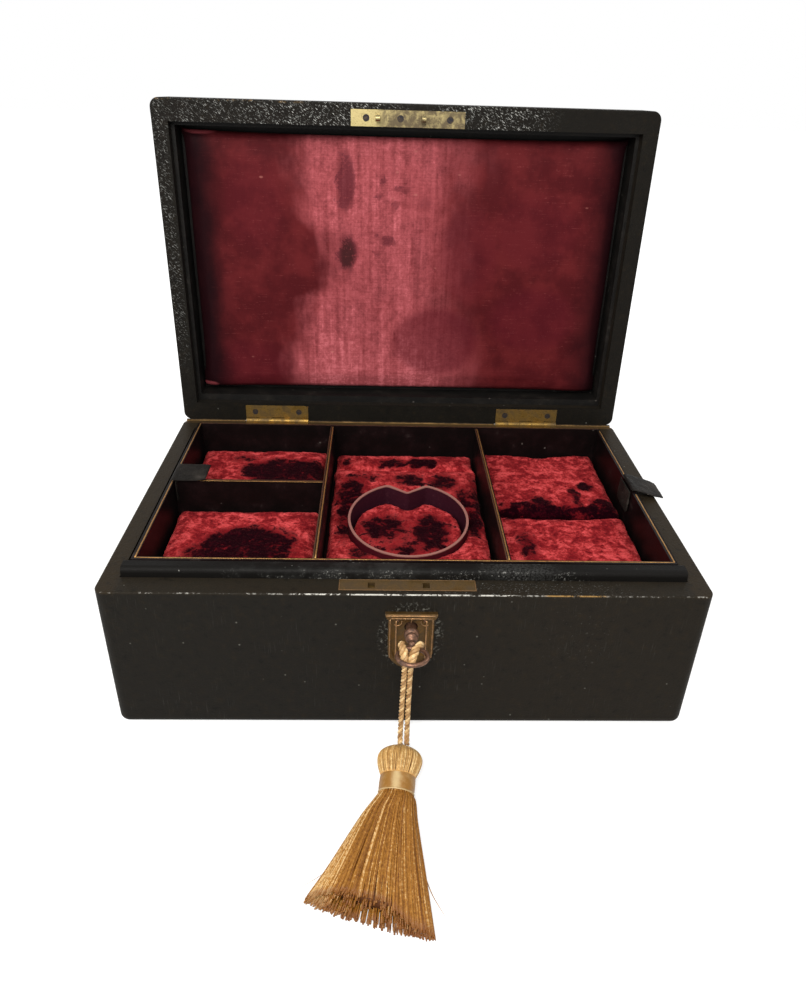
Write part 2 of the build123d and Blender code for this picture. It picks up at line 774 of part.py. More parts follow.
def make_lock():
    """Case, cap, selvedge, bolt, lever, springs, drill pin and link plate."""
    half = plate_length / 2
    inner = half - case_wall
    case = block((lock_x - half, lock_x + half), (case_front, case_back), (case_bottom, case_top))
    inside = (lock_x - inner, lock_x + inner)
    cavity = block(inside, (cavity_front, case_back + 1), (case_bottom + case_wall, case_top + 1))
    case = case - cavity - keyhole(case_front - 1, cavity_front + 1, keyhole_room / 2)
    rail_top = bolt_bottom - layer_gap / 2
    clear = bit_reach + rail_clearance
    for x in ((lock_x - inner, key_x - clear), (key_x + clear, lock_x + inner)):
        rail = block(x, (cavity_front, bolt_layer + bolt_thickness), (rail_top - rail_height, rail_top))
        case = case + rail
    pivot = y_rod(lever_pivot_x, lever_pivot_z, cavity_front, cavity_back, lever_pivot_radius)
    save("lock_case", case + pivot)

    cap = block(inside, (cavity_back, case_back), (case_bottom + case_wall, case_top))
    save("lock_cap", cap)
    pin_end = key_tip_y - barrel_bore_depth * drill_pin_share
    save("lock_drill_pin", y_rod(key_x, key_z, cavity_back, pin_end, drill_pin_radius))

    selvedge = plate_recess(case_top, selvedge_top)
    links = Part()
    for x in slot_positions:
        place = lock_x + x
        slot = block(
            (place - slot_length / 2, place + slot_length / 2),
            (slot_y - slot_width / 2, slot_y + slot_width / 2),
            (case_top - 1, selvedge_top + 1),
        )
        selvedge = selvedge - slot
        links = links + link(place)
    save("lock_selvedge", selvedge)

    plate = plate_recess(lid_floor - plate_pride, lid_floor - plate_pride + plate_thickness)
    for x in link_screw_positions:
        plate = plate - screw_hole(lock_x + x, plate_y, lid_floor - plate_pride, 1)
    save_lid("link_plate", plate + links)
    screws = [screw(lock_x + x, plate_y, lid_floor - plate_pride, 1) for x in link_screw_positions]
    save_lid("link_plate_screws", *screws)

    bolt_y = (bolt_layer, bolt_layer + bolt_thickness)
    through = (bolt_layer - 1, bolt_layer + bolt_thickness + 1)
    bolt = block((lock_x - bolt_left, lock_x + bolt_right), bolt_y, (bolt_bottom, bolt_top))
    rest_share = bolt_travel / 4
    notch_middle = key_x - rest_share
    notch = block(
        (notch_middle - talon_half, notch_middle + talon_half),
        through,
        (bolt_bottom - 1, key_z + bit_reach + key_clearance),
    )
    bolt = bolt - notch
    guide = lever_pivot_radius + key_clearance / 2
    guide_slot = block(
        (lever_pivot_x - bolt_travel + rest_share, lever_pivot_x + rest_share),
        through,
        (lever_pivot_z - guide, lever_pivot_z + guide),
    )
    for x in (lever_pivot_x - bolt_travel + rest_share, lever_pivot_x + rest_share):
        guide_slot = guide_slot + y_rod(x, lever_pivot_z, *through, guide)
    bolt = bolt - guide_slot
    for x in slot_positions:
        tip = lock_x + x - link_thickness / 2 - key_clearance
        prong_y = (bolt_layer, bolt_layer + prong_thickness)
        post = (tip - prong_length - prong_post, tip - prong_length)
        bolt = bolt + block(post, prong_y, (bolt_top - weld, eye_z + prong_height / 2))
        bolt = bolt + block((post[0], tip), prong_y, (eye_z - prong_height / 2, eye_z + prong_height / 2))
    save("lock_bolt", bolt)

    belly = key_z + bit_reach + key_clearance
    lever_y = (lever_layer, lever_layer + lever_thickness)
    lever = block((lever_pivot_x, lever_reach), lever_y, (belly, belly + lever_height))
    lever = lever + y_rod(lever_pivot_x, lever_pivot_z, *lever_y, lever_eye)
    hole = lever_pivot_radius + pin_clearance
    lever = lever - y_rod(lever_pivot_x, lever_pivot_z, cavity_front, case_back, hole)
    save("lock_lever", lever)

    seat = belly + lever_height + layer_gap / 2
    foot_x = lever_pivot_x + spring_reach
    strip_y = (lever_layer + layer_gap / 2, lever_layer + lever_thickness)
    root_x = lever_pivot_x - spring_root
    inner_x = root_x + spring_thickness
    bend_z = case_top - spring_drop
    toe_z = seat + spring_toe_rise
    outline = Polyline(
        (root_x, case_top), (root_x, bend_z), (foot_x, seat), (foot_x + spring_toe, toe_z),
        (foot_x + spring_toe - 0.2, toe_z + spring_thickness), (foot_x, seat + spring_thickness),
        (inner_x, bend_z + spring_thickness * 0.9), (inner_x, case_top), close=True,
    )
    strip_plane = Plane(origin=(0, strip_y[1], 0), x_dir=(1, 0, 0), z_dir=(0, -1, 0))
    save("lock_spring", extrude(strip_plane * make_face(outline), strip_y[1] - strip_y[0]))


def link(x):
    """One link of the link plate, drawn shut: a rounded tongue with an eye for the bolt's prong."""
    half = link_width / 2
    foot = lid_floor - link_drop
    tongue = Pos(slot_y, (foot + half + lid_floor) / 2) * Rectangle(link_width, lid_floor - foot - half)
    tongue = tongue + Pos(slot_y, foot + half) * Circle(half)
    eye = Pos(slot_y, eye_z) * RectangleRounded(link_eye, prong_height + link_eye_play, link_eye_corner)
    flat = side_plane * (tongue - eye)
    return Pos(x - link_thickness / 2, 0, 0) * extrude(flat, link_thickness)


def wire_arc(centre, radius, start, span):
    """A level arc of the bow's wire, in degrees counted from +X."""
    section = Plane.XZ * Pos(radius, 0) * Circle(bow_wire)
    return Pos(centre[0], centre[1], 0) * revolve(section, Axis.Z, span).rotate(Axis.Z, start)


def bow_oval():
    """The bow: tight arcs at its sides and flatter ones, tangent to them, at its front and back."""
    wide = bow_width / 2 - bow_wire
    deep = bow_length / 2 - bow_wire
    tight = deep * bow_side_share
    beyond = ((wide - tight) ** 2 - (deep - tight) ** 2) / (2 * (deep - tight))
    flat = deep + beyond
    turn = degrees(atan2(beyond, wide - tight))
    oval = Part()
    for heading in (0, 180):
        oval = oval + wire_arc((wide - tight, 0), tight, -turn, 2 * turn).rotate(Axis.Z, heading)
        oval = oval + wire_arc((0, -beyond), flat, turn, 180 - 2 * turn).rotate(Axis.Z, heading)
    return oval


def make_key():
    """Barrel key: hollow barrel, collars, an oval bow lying flat and a stepped bit to the left."""
    bore_end = key_tip_y - barrel_bore_depth
    at = [(radius, key_end_y + distance) for radius, distance in shank_turning]
    profile = [
        Polyline((0, bore_end), (barrel_bore, bore_end + barrel_bore / 2), (barrel_bore, key_tip_y)),
        Polyline((barrel_bore, key_tip_y), (barrel_radius, key_tip_y), at[0], at[1]),
        ThreePointArc(at[1], at[2], at[3]),
        ThreePointArc(at[3], at[4], at[5]),
        Polyline(at[5], at[6], at[7]),
        ThreePointArc(at[7], at[8], at[9]),
        Polyline(at[9], (0, key_end_y - key_ball), (0, bore_end)),
    ]
    shank = Pos(key_x, 0, key_z) * revolve(make_face(profile), Axis.Y)
    bow = Pos(key_x, bow_y, key_z) * bow_oval()
    bit_back = key_tip_y
    bit_front = cavity_front + key_clearance
    bit = block(
        (key_x - bit_reach, key_x - barrel_radius + weld),
        (bit_front, bit_back),
        (key_z - bit_thickness / 2, key_z + bit_thickness / 2),
    )
    ward_y = (bit_front + bit_back) / 2
    tip = key_x - bit_reach
    over = (key_z - bit_thickness, key_z + bit_thickness)
    ward = block((tip - 1, tip + ward_depth), (ward_y - ward_width / 2, ward_y + ward_width / 2), over)
    step = block((tip - 1, tip + bit_step), (bit_back - bit_step / 2, bit_back + 1), over)
    bit = bit - ward - step
    save("key", shank + bow + bit)


def make_escutcheon():
    """Shield plate with a raised border, a top bar with pointed ears, and two pins."""
    half = escutcheon_width / 2
    middle = escutcheon_foot + half
    body = Pos(key_x, (escutcheon_top - escutcheon_bar / 2 + middle) / 2) * Rectangle(
        escutcheon_width, escutcheon_top - escutcheon_bar / 2 - middle
    )
    body = body + Pos(key_x, middle) * Circle(half)
    inner_half = half - escutcheon_border
    panel_top = escutcheon_top - escutcheon_bar
    panel = Pos(key_x, (panel_top + middle) / 2) * Rectangle(2 * inner_half, panel_top - middle)
    panel = panel + Pos(key_x, middle) * Circle(inner_half)
    plate = extrude(front_plane * body, escutcheon_thickness)
    floor = escutcheon_thickness - escutcheon_recess
    plate = plate - extrude(front_plane * Pos(0, 0, floor) * panel, escutcheon_recess + 1)
    ear = half + escutcheon_ear
    ear_low = escutcheon_top - escutcheon_ear_depth
    bar_face = make_face(
        Polyline(
            (key_x - half, panel_top), (key_x + half, panel_top), (key_x + ear, ear_low),
            (key_x + ear, escutcheon_top), (key_x - ear, escutcheon_top), (key_x - ear, ear_low),
            close=True,
        )
    )
    bar = extrude(front_plane * bar_face, escutcheon_thickness + escutcheon_bar_pride)
    front_edges = bar.edges().filter_by(Axis.X).group_by(Axis.Y)[0]
    bar = fillet(front_edges, escutcheon_bar_pride)
    plate = plate + bar
    plate = plate - keyhole(-half_depth - 5, -half_depth + 1, keyhole_room)
    pins = []
    for sign in (-1, 1):
        x = key_x + sign * escutcheon_pin_x
        hole = y_rod(x, escutcheon_pin_z, -half_depth + 1, -half_depth - 5, escutcheon_pin_radius / 2)
        plate = plate - hole
        seat = -half_depth - floor
        head = Pos(x, seat, escutcheon_pin_z) * Sphere(escutcheon_pin_radius)
        head = head & block((x - 2, x + 2), (seat - 2, seat), (escutcheon_pin_z - 2, escutcheon_pin_z + 2))
        shank = y_rod(x, escutcheon_pin_z, seat, -half_depth, escutcheon_pin_radius / 2 - pin_clearance)
        pins.append(head + shank)
    save("escutcheon_plate", plate)
    save("escutcheon_pins", *pins)


def cord_route():
    """Points of the cord's middle line: up one strand, round the key's bow and down the other.

    The cord is hitched to the bow. Both strands come up through the bow's eye and go back over
    its shoulders, and the loop between them passes under the end of the shank.
    """
    hitch = (
        (-3.25, -9.6, -2.5),
        (-4.0, -7.0, 3.1),
        (-4.8, -2.6, 3.1),
        (-4.7, 0.5, -0.3),
        (-2.5, 0.5, -3.8),
        (2.5, 0.5, -3.8),
        (4.6, 0.4, -0.3),
        (3.7, -2.8, 3.2),
        (1.1, -6.9, 3.4),
        (-0.8, -9.6, -2.5),
    )
    hitch = [(key_x + dx, key_end_y + dy, key_z + dz) for dx, dy, dz in hitch]
    foot_z = tassel_height + 3.8
    hang = ((0.0, 5.0), (0.17, 4.7), (0.6, 3.4))
    strands = []
    for sign, top in ((-1, hitch[0]), (1, hitch[-1])):
        foot_x = tassel_x + cord_foot_shift + sign * cord_foot_half
        strand = [(foot_x, tassel_y + 0.25, tassel_height), (foot_x, tassel_y + 3.4, tassel_height + 0.6)]
        for share, back in hang:
            x = foot_x + share * (top[0] - foot_x)
            strand.append((x, tassel_y + back, foot_z + share * (top[2] - foot_z)))
        strands.append(strand)
    return strands[0] + hitch + strands[1][::-1]


def make_cord():
    """The cord as one tube of straight runs joined by arcs as large as the runs allow."""
    points = [Vector(*point) for point in cord_route()]
    radii = []
    for before, here, after in zip(points, points[1:], points[2:]):
        arriving = here - before
        leaving = after - here
        turn = radians(arriving.get_angle(leaving))
        radii.append(0.45 * min(arriving.length, leaving.length) / tan(turn / 2))
    path = FilletPolyline(*points, radius=radii)
    section = Plane(origin=points[0], z_dir=points[1] - points[0]) * Circle(cord_diameter / 2)
    cord = sweep(section, path=path)
    save("tassel_cord", cord)
    area = pi * cord_diameter**2 / 4
    print("cord: length", round(path.length, 1), "arc radii", [round(radius, 2) for radius in radii])
    print("cord: volume over length times area", round(cord.volume / (path.length * area), 3))


def make_tassel():
    """Head, band and skirt, lying on the table in front of the box."""
    side = radians(tassel_sideways)
    fall = radians(tassel_downward)
    along = Vector(-sin(side) * cos(fall), -cos(side) * cos(fall), -sin(fall))
    plane = Plane(origin=tassel_top, x_dir=along, z_dir=along.cross(Vector(0, 0, 1)))
    shoulder, widest, below = [(head_length * run, head_radius * share) for run, share in head_profile]
    neck_edge = (head_length, head_neck_radius)
    profile = [
        Polyline((head_length, 0), (0, 0), (0, head_top_radius)),
        ThreePointArc((0, head_top_radius), shoulder, widest),
        ThreePointArc(widest, below, neck_edge),
        Line(neck_edge, (head_length, 0)),
    ]
    head = revolve(plane * make_face(profile), Axis(tassel_top, along))
    save("tassel_head", head)
    neck = Vector(*tassel_top) + along * head_length
    waist = neck + along * band_length
    save("tassel_band", rod(neck, waist, band_radius))
    sections = [Plane(origin=waist, x_dir=(-along.Y, along.X, 0), z_dir=along) * Circle(band_radius - 0.3)]
    for reach, sideways, height, wide, high, slant in skirt_sections:
        middle = Vector(tassel_x + sideways, tassel_y - reach, height)
        across = Vector(cos(radians(slant)), sin(radians(slant)), 0)
        face = Plane(origin=middle, x_dir=across, z_dir=(across.Y, -across.X, 0)) * Ellipse(wide, high)
        sections.append(face)
    save("tassel_skirt", loft(sections, ruled=True))


make_base()
make_lid()
make_hinges()
make_tray()
make_straps()
make_lock()
make_key()
make_escutcheon()
make_cord()
make_tassel()
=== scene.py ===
"""Antique jewellery box: its finishes, soft goods, cord, tassel, camera and light."""

import functools
import json
import logging
import math
import random
from collections.abc import Callable, Iterable, Sequence
from dataclasses import dataclass
from enum import Enum
from typing import Any

import bpy
from mathutils import Matrix, Vector, noise

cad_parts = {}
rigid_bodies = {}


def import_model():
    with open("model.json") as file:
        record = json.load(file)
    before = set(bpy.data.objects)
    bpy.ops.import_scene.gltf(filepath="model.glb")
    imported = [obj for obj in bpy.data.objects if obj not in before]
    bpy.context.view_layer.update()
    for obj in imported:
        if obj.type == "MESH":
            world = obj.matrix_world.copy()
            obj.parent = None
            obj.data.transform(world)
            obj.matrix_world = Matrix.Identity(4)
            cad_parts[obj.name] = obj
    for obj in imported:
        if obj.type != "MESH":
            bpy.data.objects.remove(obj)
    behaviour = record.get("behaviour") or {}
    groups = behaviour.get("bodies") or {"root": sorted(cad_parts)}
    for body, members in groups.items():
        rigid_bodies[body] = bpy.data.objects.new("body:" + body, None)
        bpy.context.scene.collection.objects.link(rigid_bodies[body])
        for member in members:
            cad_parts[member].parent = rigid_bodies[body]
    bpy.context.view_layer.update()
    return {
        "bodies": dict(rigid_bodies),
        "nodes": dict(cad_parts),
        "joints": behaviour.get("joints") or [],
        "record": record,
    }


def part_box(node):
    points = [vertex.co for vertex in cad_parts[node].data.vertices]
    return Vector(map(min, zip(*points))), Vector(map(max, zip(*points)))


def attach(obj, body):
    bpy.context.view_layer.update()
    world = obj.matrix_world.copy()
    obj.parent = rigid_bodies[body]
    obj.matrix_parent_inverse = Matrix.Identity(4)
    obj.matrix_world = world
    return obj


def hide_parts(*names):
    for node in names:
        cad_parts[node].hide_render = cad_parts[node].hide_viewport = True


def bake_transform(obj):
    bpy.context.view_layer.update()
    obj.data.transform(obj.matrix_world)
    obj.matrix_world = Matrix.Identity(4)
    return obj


LOG = logging.getLogger("jewellery_box")
MM = 0.001
TO_MM = 1000
SEED_STEPS = (31.7, 17.3, 7.9)
# Blender seeds its vector noise from the clock, unless it is given a number.
NOISE_SEED = 1795693042
SPECULAR = "Specular IOR Level"
Rgb = tuple[float, float, float]
Triple = tuple[float, float, float]


def tone(red: float, green: float, blue: float) -> Rgb:
    """A colour given as screen numbers.

    Args:
        red: Red, from 0 to 255.
        green: Green, from 0 to 255.
        blue: Blue, from 0 to 255.

    Returns:
        The same colour as linear numbers from 0 to 1.
    """
    linear = []
    for part in (red, green, blue):
        share = part / 255
        linear.append(share / 12.92 if share <= 0.04045 else ((share + 0.055) / 1.055) ** 2.4)
    return linear[0], linear[1], linear[2]


def point(x: float, y: float, z: float) -> Vector:
    """A place given in millimetres, as a vector in metres."""
    return Vector((x, y, z)) * MM


def held(number: float, low: float, high: float) -> float:
    """A number kept between two others."""
    return min(max(number, low), high)


def smooth(share: float) -> float:
    """A share eased at both ends, and held between 0 and 1."""
    share = held(share, 0.0, 1.0)
    return share * share * (3 - 2 * share)


def operation(kind: str, turned: bool = False) -> Callable[..., "Value"]:
    """A method that adds one Math node.

    Args:
        kind: Blender's name for the arithmetic.
        turned: Whether the other number comes first.

    Returns:
        The method, for the class of varying numbers.
    """

    def applied(self: "Value", *others: "Value | float") -> "Value":
        """Join this number and the others."""
        operands = (*others, self) if turned else (self, *others)
        made = self.graph.node("ShaderNodeMath", {"operation": kind}, dict(enumerate(operands)))
        return Value(self.graph, made.outputs[0])

    return applied


class Value:
    """A number that varies over a surface. Arithmetic on it adds Math nodes."""

    __add__, __radd__ = operation("ADD"), operation("ADD", turned=True)
    __sub__, __rsub__ = operation("SUBTRACT"), operation("SUBTRACT", turned=True)
    __mul__, __rmul__ = operation("MULTIPLY"), operation("MULTIPLY", turned=True)
    __truediv__ = operation("DIVIDE")
    __pow__ = operation("POWER")
    __abs__ = operation("ABSOLUTE")
    most = operation("MAXIMUM")

    def __init__(self, graph: "Graph", socket: bpy.types.NodeSocket) -> None:
        """Wrap an output socket.

        Args:
            graph: The material's graph that the socket belongs to.
            socket: The output that carries the number.
        """
        self.graph = graph
        self.socket = socket

    def __neg__(self) -> "Value":
        """This with its sign turned."""
        return self * -1.0

    def rise(self, low: float, high: float) -> "Value":
        """A smooth step from 0 at low to 1 at high.

        Args:
            low: Where the step begins.
            high: Where it ends.

        Returns:
            The step, between 0 and 1.
        """
        made = self.graph.node(
            "ShaderNodeMapRange",
            {"interpolation_type": "SMOOTHSTEP", "clamp": True},
            {"Value": self, "From Min": low, "From Max": high},
        )
        return Value(self.graph, made.outputs[0])

    def fall(self, low: float, high: float) -> "Value":
        """A smooth step from 1 at low to 0 at high."""
        return 1 - self.rise(low, high)

    def within(self, centre: float, half: float, soft: float) -> "Value":
        """A band that is 1 near a centre.

        Args:
            centre: The middle of the band.
            half: Half of the band's full width.
            soft: The width over which it fades outside that.

        Returns:
            The band, between 0 and 1.
        """
        return abs(self - centre).fall(half, half + soft)


class Graph:
    """The nodes of a material or a world, with short ways to add the ones that are used."""

    def __init__(self, name: str, owner: bpy.types.ID | None = None) -> None:
        """Start with no node.

        Args:
            name: The name of a new material.
            owner: What the nodes belong to instead, such as a world.
        """
        self.material = owner or bpy.data.materials.new(name)
        self.material.use_nodes = True
        self.tree = self.material.node_tree
        self.tree.nodes.clear()
        self._places: dict[str, tuple[Value, Value, Value]] = {}
        self._object: bpy.types.NodeSocket | None = None

    def node(
        self,
        kind: str,
        settings: dict[str, Any] | None = None,
        inputs: dict[str | int, Any] | None = None,
    ) -> bpy.types.Node:
        """Add a node.

        Args:
            kind: Blender's name for the node's type.
            settings: Its properties, set first.
            inputs: Values or links for its sockets, by name or number.

        Returns:
            The node.
        """
        made = self.tree.nodes.new(kind)
        for name, value in (settings or {}).items():
            setattr(made, name, value)
        for key, value in (inputs or {}).items():
            socket = made.inputs[key]
            if isinstance(value, Value):
                self.tree.links.new(value.socket, socket)
            elif isinstance(value, bpy.types.NodeSocket):
                self.tree.links.new(value, socket)
            elif socket.type == "RGBA" and len(value) == 3:
                socket.default_value = (*value, 1)
            else:
                socket.default_value = value
        return made

    def place(self) -> tuple[Value, Value, Value]:
        """The surface point's x, y and z in the row frame, in millimetres."""
        if "row" not in self._places:
            coordinates = self.node("ShaderNodeTexCoord").outputs["Object"]
            split = self.node("ShaderNodeSeparateXYZ", None, {0: coordinates})
            x, y, z = (Value(self, socket) * TO_MM for socket in split.outputs)
            self._places["row"] = (x, y, z)
        return self._places["row"]

    def place_shut(self) -> tuple[Value, Value, Value]:
        """The same for a piece of the lid, as if the lid were shut, in millimetres."""
        if "shut" not in self._places:
            x, y, z = self.place()
            turn = math.radians(LidFrame.open_angle)
            depth = y - LidFrame.hinge_y
            height = z - LidFrame.hinge_z
            shut_y = depth * math.cos(turn) - height * math.sin(turn) + LidFrame.hinge_y
            shut_z = depth * math.sin(turn) + height * math.cos(turn) + LidFrame.hinge_z
            self._places["shut"] = (x, shut_y, shut_z)
        return self._places["shut"]

    def vector(self, x: Value | float, y: Value | float, z: Value | float) -> bpy.types.NodeSocket:
        """A vector from its three parts."""
        return self.node("ShaderNodeCombineXYZ", None, {0: x, 1: y, 2: z}).outputs[0]

    def attribute(self, name: str) -> Value:
        """A number stored on the mesh under that name."""
        made = self.node("ShaderNodeAttribute", {"attribute_type": "GEOMETRY", "attribute_name": name})
        return Value(self, made.outputs["Fac"])

    def spread(self, size: float, where: Sequence[Value | float] | None, seed: float) -> bpy.types.NodeSocket:
        """The place that a texture is read at.

        Args:
            size: The texture's size in millimetres.
            where: Three coordinates in millimetres, or none for the row frame.
            seed: A number that moves it to another part of the texture.

        Returns:
            The place, in texture sizes.
        """
        if where is None:
            if self._object is None:
                self._object = self.node("ShaderNodeTexCoord").outputs["Object"]
            place, scale = self._object, 1 / (size * MM)
        else:
            place, scale = self.vector(*where), 1 / size
        moved = tuple(seed * step for step in SEED_STEPS)
        inputs = {0: place, 1: (scale,) * 3, 2: moved}
        return self.node("ShaderNodeVectorMath", {"operation": "MULTIPLY_ADD"}, inputs).outputs[0]

    def noise(
        self,
        size: float,
        where: Sequence[Value | float] | None = None,
        detail: float = 3.0,
        roughness: float = 0.55,
        distortion: float = 0.0,
        seed: float = 0.0,
    ) -> Value:
        """Cloudy noise.

        Args:
            size: The size of its lumps in millimetres.
            where: The three coordinates it is read at, or none for the row frame.
            detail: How many finer layers it has.
            roughness: How strong those layers are.
            distortion: How far it is warped.
            seed: A number that gives another pattern.

        Returns:
            The noise, about 0.5 on average.
        """
        inputs = {"Vector": self.spread(size, where, seed), "Scale": 1.0, "Detail": detail}
        inputs |= {"Roughness": roughness, "Distortion": distortion}
        return Value(self, self.node("ShaderNodeTexNoise", None, inputs).outputs[0])

    def cells(
        self, size: float, where: Sequence[Value | float] | None = None, seed: float = 0.0
    ) -> tuple[Value, Value]:
        """Cells like pebbles or specks.

        Args:
            size: The size of a cell in millimetres.
            where: The three coordinates they are read at, or none for the row frame.
            seed: A number that gives another pattern.

        Returns:
            The distance from a cell's middle, in cell sizes, and a random number for each cell.
        """
        inputs = {"Vector": self.spread(size, where, seed), "Scale": 1.0}
        made = self.node("ShaderNodeTexVoronoi", None, inputs)
        chance = self.node("ShaderNodeSeparateColor", None, {0: made.outputs["Color"]})
        return Value(self, made.outputs["Distance"]), Value(self, chance.outputs[0])

    def patch(self, across: Value, along: Value, spot: "Spot") -> Value:
        """A soft oval patch.

        Args:
            across: The first coordinate, in millimetres.
            along: The second.
            spot: The patch's place and size.

        Returns:
            The patch, between 0 and its strength.
        """
        near = ((across - spot.x) / spot.wide) ** 2 + ((along - spot.y) / spot.high) ** 2
        return near.fall((1 - spot.soft) ** 2, (1 + spot.soft) ** 2) * spot.strength

    def patches(self, across: Value, along: Value, spots: Iterable["Spot"]) -> Value:
        """Several such patches, the strongest where they meet."""
        return functools.reduce(Value.most, (self.patch(across, along, spot) for spot in spots))

    def seen_straight(self) -> Value:
        """1 for the rays that show what is behind the object, from the camera or off a gloss, and else 0."""
        path = self.node("ShaderNodeLightPath")
        rays = [Value(self, path.outputs[f"Is {kind} Ray"]) for kind in ("Camera", "Glossy", "Transmission")]
        return rays[0].most(rays[1]).most(rays[2])

    def mix(self, share: Value | float, first: Any, second: Any) -> bpy.types.NodeSocket:
        """Two colours mixed.

        Args:
            share: How much of the second.
            first: A colour or a colour socket.
            second: Another.

        Returns:
            The mixed colour's socket.
        """
        inputs = {0: share, 6: first, 7: second}
        made = self.node("ShaderNodeMix", {"data_type": "RGBA", "clamp_factor": True}, inputs)
        return made.outputs[2]

    def bump(self, height: Value, depth: float) -> bpy.types.NodeSocket:
        """A relief for the surface.

        Args:
            height: The relief's height, from 0 to 1.
            depth: What 1 means, in millimetres.

        Returns:
            The normal's socket.
        """
        inputs = {"Strength": 1.0, "Distance": depth * MM, "Height": height}
        return self.node("ShaderNodeBump", None, inputs).outputs[0]

    def finish(
        self,
        colour: bpy.types.NodeSocket,
        roughness: Value | float,
        normal: bpy.types.NodeSocket,
        others: dict[str | int, Any],
    ) -> bpy.types.Material:
        """Add the surface shader and the output.

        Args:
            colour: The base colour.
            roughness: How rough the surface is, from 0 to 1.
            normal: Its relief.
            others: The shader's other sockets, as values or links.

        Returns:
            The finished material.
        """
        inputs = {"Base Color": colour, "Roughness": roughness, "Normal": normal, **others}
        shader = self.node("ShaderNodeBsdfPrincipled", None, inputs)
        self.node("ShaderNodeOutputMaterial", None, {0: shader.outputs[0]})
        return self.material


@dataclass(frozen=True)
class LidFrame:
    """The lid's hinge line in millimetres, and how far the lid stands open in degrees."""

    open_angle: float = 92.0
    hinge_y: float = 93.0
    hinge_z: float = 81.15


@dataclass(frozen=True)
class Spot:
    """A soft oval patch on a surface, in millimetres."""

    x: float
    y: float
    wide: float
    high: float
    strength: float = 1.0
    soft: float = 0.35

    def at(self, x: float, y: float) -> float:
        """How strong the patch is at a place, from 0 to its strength."""
        reach = math.hypot((x - self.x) / self.wide, (y - self.y) / self.high)
        return self.strength * (1 - smooth((reach - 1 + self.soft) / (2 * self.soft)))


class Cover(Enum):
    """Which half of the case a leather covers."""

    BASE = "base"
    LID = "lid"


